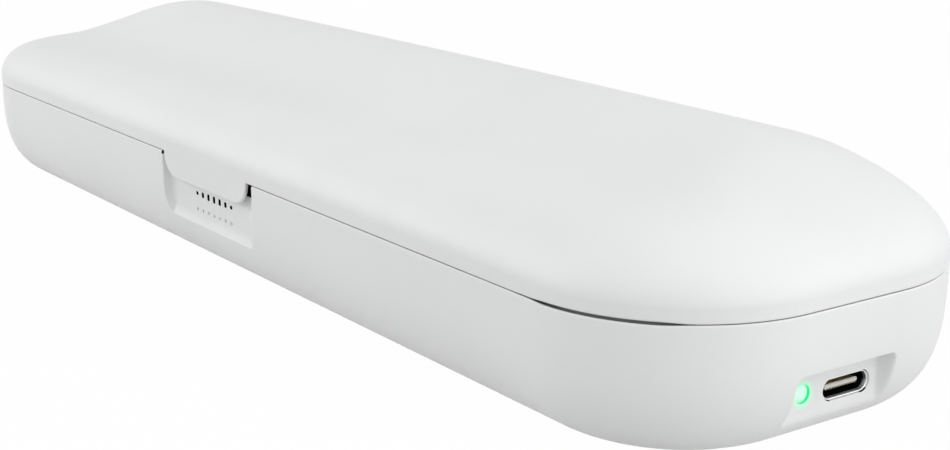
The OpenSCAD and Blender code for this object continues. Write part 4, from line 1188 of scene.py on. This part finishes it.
class StatusLight(Operator):
    """Status light: a lit disc of resin with a domed front, set back in its hole"""
    bl_idname = "travel_case.status_light"
    bl_label = "Status light"

    def execute(self, context):
        collar = (LENS_HIGH.y - LENS_LOW.y) / 2
        case, end = context.scene.case_shape, context.scene.end_shape
        radius = end.light_width / 2 - 0.03 * MM
        set_back = 0.3 * MM
        back, tip = LENS_LOW.x, case.length / 2 - end.depth - set_back
        step = back + 1.7 * MM
        dome, arc = 0.12 * MM, 1.2
        bow = [(tip - dome * (1 - math.cos(t)) / (1 - math.cos(arc)), radius * 0.93 * t / arc)
               for t in np.linspace(0, arc, 9)]
        body = [(tip - 0.16 * MM, radius * 0.97), (tip - 0.24 * MM, radius), (step + 0.1 * MM, radius),
                (step, radius + 0.1 * MM), (step, collar - 0.15 * MM), (step - 0.15 * MM, collar),
                (back + 0.15 * MM, collar), (back, collar - 0.15 * MM), (back, 0)]
        made = lit_resin("status_green", (0.35, 0.85, 0.55), (0.68, 0.92, 0.78), 0.4)
        obj = add_mesh("status_light", [revolved_part(bow + body, LIGHT)], [made])
        stand_in(obj, "base", "lens", "status_lens")
        dress("status_led", plastic("led_resin", (0.75, 0.78, 0.68), rough=(0.15, 0.3)))
        return {"FINISHED"}


class Charging(Operator):
    """Finishes of the charging housing, coil, core and leads"""
    bl_idname = "travel_case.charging"
    bl_label = "Charging parts"

    def execute(self, context):
        dress("charge_housing", plastic("nub_gloss", (0.78, 0.79, 0.8), rough=(0.22, 0.34), relief=0.06))
        centre = tuple((COIL_LOW + COIL_HIGH) / 2)
        dress("charge_coil", winding("copper_wire", (0.62, 0.25, 0.1), centre))
        dress("ferrite_core", plastic("ferrite_grey", (0.035, 0.035, 0.038), rough=(0.45, 0.7), relief=0.5))
        dress("coil_leads", plastic("lead_red", (0.35, 0.02, 0.015), rough=(0.35, 0.5)))
        return {"FINISHED"}


class Board(Operator):
    """Finishes of the circuit board and what is soldered on it"""
    bl_idname = "travel_case.board"
    bl_label = "Circuit board"

    def execute(self, context):
        dress("main_board", circuit_board("board_green"))
        dress("charge_chips", plastic("chip_black", (0.02, 0.02, 0.021), rough=(0.5, 0.65), relief=0.4))
        dress("board_parts", plastic("ceramic_tan", (0.38, 0.27, 0.16), rough=(0.4, 0.6), relief=0.3))
        return {"FINISHED"}


class Fixings(Operator):
    """Finishes of hinge pins, screws, screw covers and magnets"""
    bl_idname = "travel_case.fixings"
    bl_label = "Pins, screws and magnets"

    def execute(self, context):
        steel = metal("drawn_steel", (0.6, 0.6, 0.61), (0.22, 0.4), (0.15, 1, 1))
        for node in ("hinge_pins", "case_screws", "board_screws"):
            dress(node, steel)
        plate = metal("magnet_plate", (0.68, 0.68, 0.69), (0.12, 0.26), (1, 1, 0.4))
        dress("base_magnets", plate)
        dress("lid_magnets", plate)
        dress("screw_covers", bpy.data.materials["white_satin"])
        dress("head_pegs", bpy.data.materials["nub_gloss"])
        return {"FINISHED"}


class SoftPads(Operator):
    """Cradle saddles and lid pads: the CAD meshes with well rounded edges, in grey rubber"""
    bl_idname = "travel_case.soft_pads"
    bl_label = "Soft pads"

    def execute(self, context):
        made = rubber("pad_grey", context.scene.finishes.soft)
        softened("cradle_pads", "cradle_saddles", made, 0.3 * MM, "base", "soft_grey", 3)
        softened("lid_pads", "lid_cushions", made, 0.3 * MM, "lid", "soft_grey", 3)
        return {"FINISHED"}


class Stage(Operator):
    """Pale floor, soft studio light and the camera"""
    bl_idname = "travel_case.stage"
    bl_label = "Floor, light and camera"

    def execute(self, context):
        setup = context.scene.stage_setup
        context.scene.view_settings.view_transform = "Standard"
        self.add_floor(context, setup)
        self.add_world(context, setup)
        self.add_light(context, "key_light", (0.45, 0.1, 0.75), (0.8, 0.8), setup.key)
        self.add_light(context, "front_light", (-0.55, -0.65, 0.35), (0.8, 0.5), setup.front)
        self.add_light(context, "side_light", (0.85, 0.05, 0.22), (0.8, 0.4), setup.side)
        self.add_light(context, "back_light", (0.6, 0.65, 0.35), (0.7, 0.5), setup.back)
        self.add_camera(context, setup)
        return {"FINISHED"}

    def add_floor(self, context, setup):
        mesh = bpy.data.meshes.new("floor")
        reach = 4.0
        mesh.from_pydata([(-reach, -reach, 0), (reach, -reach, 0), (reach, reach, 0), (-reach, reach, 0)],
                         [], [(0, 1, 2, 3)])
        obj = bpy.data.objects.new("floor", mesh)
        context.scene.collection.objects.link(obj)
        made, tree, shader = new_material("floor_paper")
        cloud = spread(tree, noise(tree, 3, 2), 0, 1)
        tone = blend_colour(tree, cloud, shade(setup.floor, 0.99), setup.floor)
        feed(tree, shader, {"Base Color": tone, "Roughness": 0.9, "Specular IOR Level": 0})
        bump(tree, shader, noise(tree, 900, 3), 0.05, 0.05)
        share = add_node(tree, "Math", "Value", {0: seen_directly(tree), 1: setup.white},
                         operation="MULTIPLY")
        white = add_node(tree, "Emission", "Emission", {"Strength": 1})
        both = add_node(tree, "MixShader", "Shader", {"Fac": share, 1: shader.outputs["BSDF"], 2: white})
        feed(tree, tree.nodes["Material Output"], {"Surface": both})
        mesh.materials.append(made)

    def add_world(self, context, setup):
        world = bpy.data.worlds.new("studio")
        world.use_nodes = True
        context.scene.world = world
        tree = world.node_tree
        even = tree.nodes["Background"]
        feed(tree, even, {"Color": (1, 1, 1, 1), "Strength": setup.sky})
        white = add_node(tree, "Background", "Background", {"Strength": 1})
        both = add_node(tree, "MixShader", "Shader", {"Fac": seen_directly(tree),
                                                      1: even.outputs["Background"], 2: white})
        feed(tree, tree.nodes["World Output"], {"Surface": both})

    def add_light(self, context, name, place, size, power):
        lamp = bpy.data.lights.new(name, "AREA")
        lamp.shape = "RECTANGLE"
        lamp.size, lamp.size_y = size
        lamp.energy = power
        obj = bpy.data.objects.new(name, lamp)
        obj.location = place
        obj.rotation_euler = (Vector((0, 0, 0.02)) - Vector(place)).to_track_quat("-Z", "Y").to_euler()
        obj.visible_camera = False
        context.scene.collection.objects.link(obj)

    def add_camera(self, context, setup):
        camera = bpy.data.cameras.new("camera")
        camera.lens = setup.lens
        camera.sensor_width = 36
        camera.clip_start = 0.01
        obj = bpy.data.objects.new("camera", camera)
        a, e = setup.azimuth, setup.elevation
        back = Vector((math.sin(a) * math.cos(e), -math.cos(a) * math.cos(e), math.sin(e)))
        right = Vector((math.cos(a), math.sin(a), 0))
        up = back.cross(right)
        turned_right = right * math.cos(setup.roll) + up * math.sin(setup.roll)
        turned_up = up * math.cos(setup.roll) - right * math.sin(setup.roll)
        axes = Matrix((turned_right, turned_up, back)).transposed().to_4x4()
        obj.matrix_world = Matrix.Translation(setup.place) @ axes
        context.scene.collection.objects.link(obj)
        context.scene.camera = obj


PIECES = (LowerCase, Lid, LidLiner, Tray, Socket, StatusLight, Charging, Board, Fixings, SoftPads, Stage)


class TravelCasePanel(Panel):
    """Lists the pieces and the stage"""
    bl_idname = "VIEW3D_PT_travel_case"
    bl_label = "Travel case"
    bl_space_type = "VIEW_3D"
    bl_region_type = "UI"
    bl_category = "Travel case"

    def draw(self, context):
        for piece in PIECES:
            self.layout.operator(piece.bl_idname)


GROUPS = {"case_shape": CaseShape, "front_shape": FrontShape, "end_shape": EndShape,
          "hinge_shape": HingeShape, "finishes": Finishes, "stage_setup": StageSetup}


def register():
    for made in (*GROUPS.values(), *PIECES, TravelCasePanel):
        bpy.utils.register_class(made)
    for name, group in GROUPS.items():
        setattr(bpy.types.Scene, name, PointerProperty(type=group))


def unregister():
    for name in GROUPS:
        delattr(bpy.types.Scene, name)
    for made in reversed((*GROUPS.values(), *PIECES, TravelCasePanel)):
        bpy.utils.unregister_class(made)


def main():
    register()
    for piece in PIECES:
        group, name = piece.bl_idname.split(".")
        getattr(getattr(bpy.ops, group), name)()


if __name__ == "__main__":
    main()
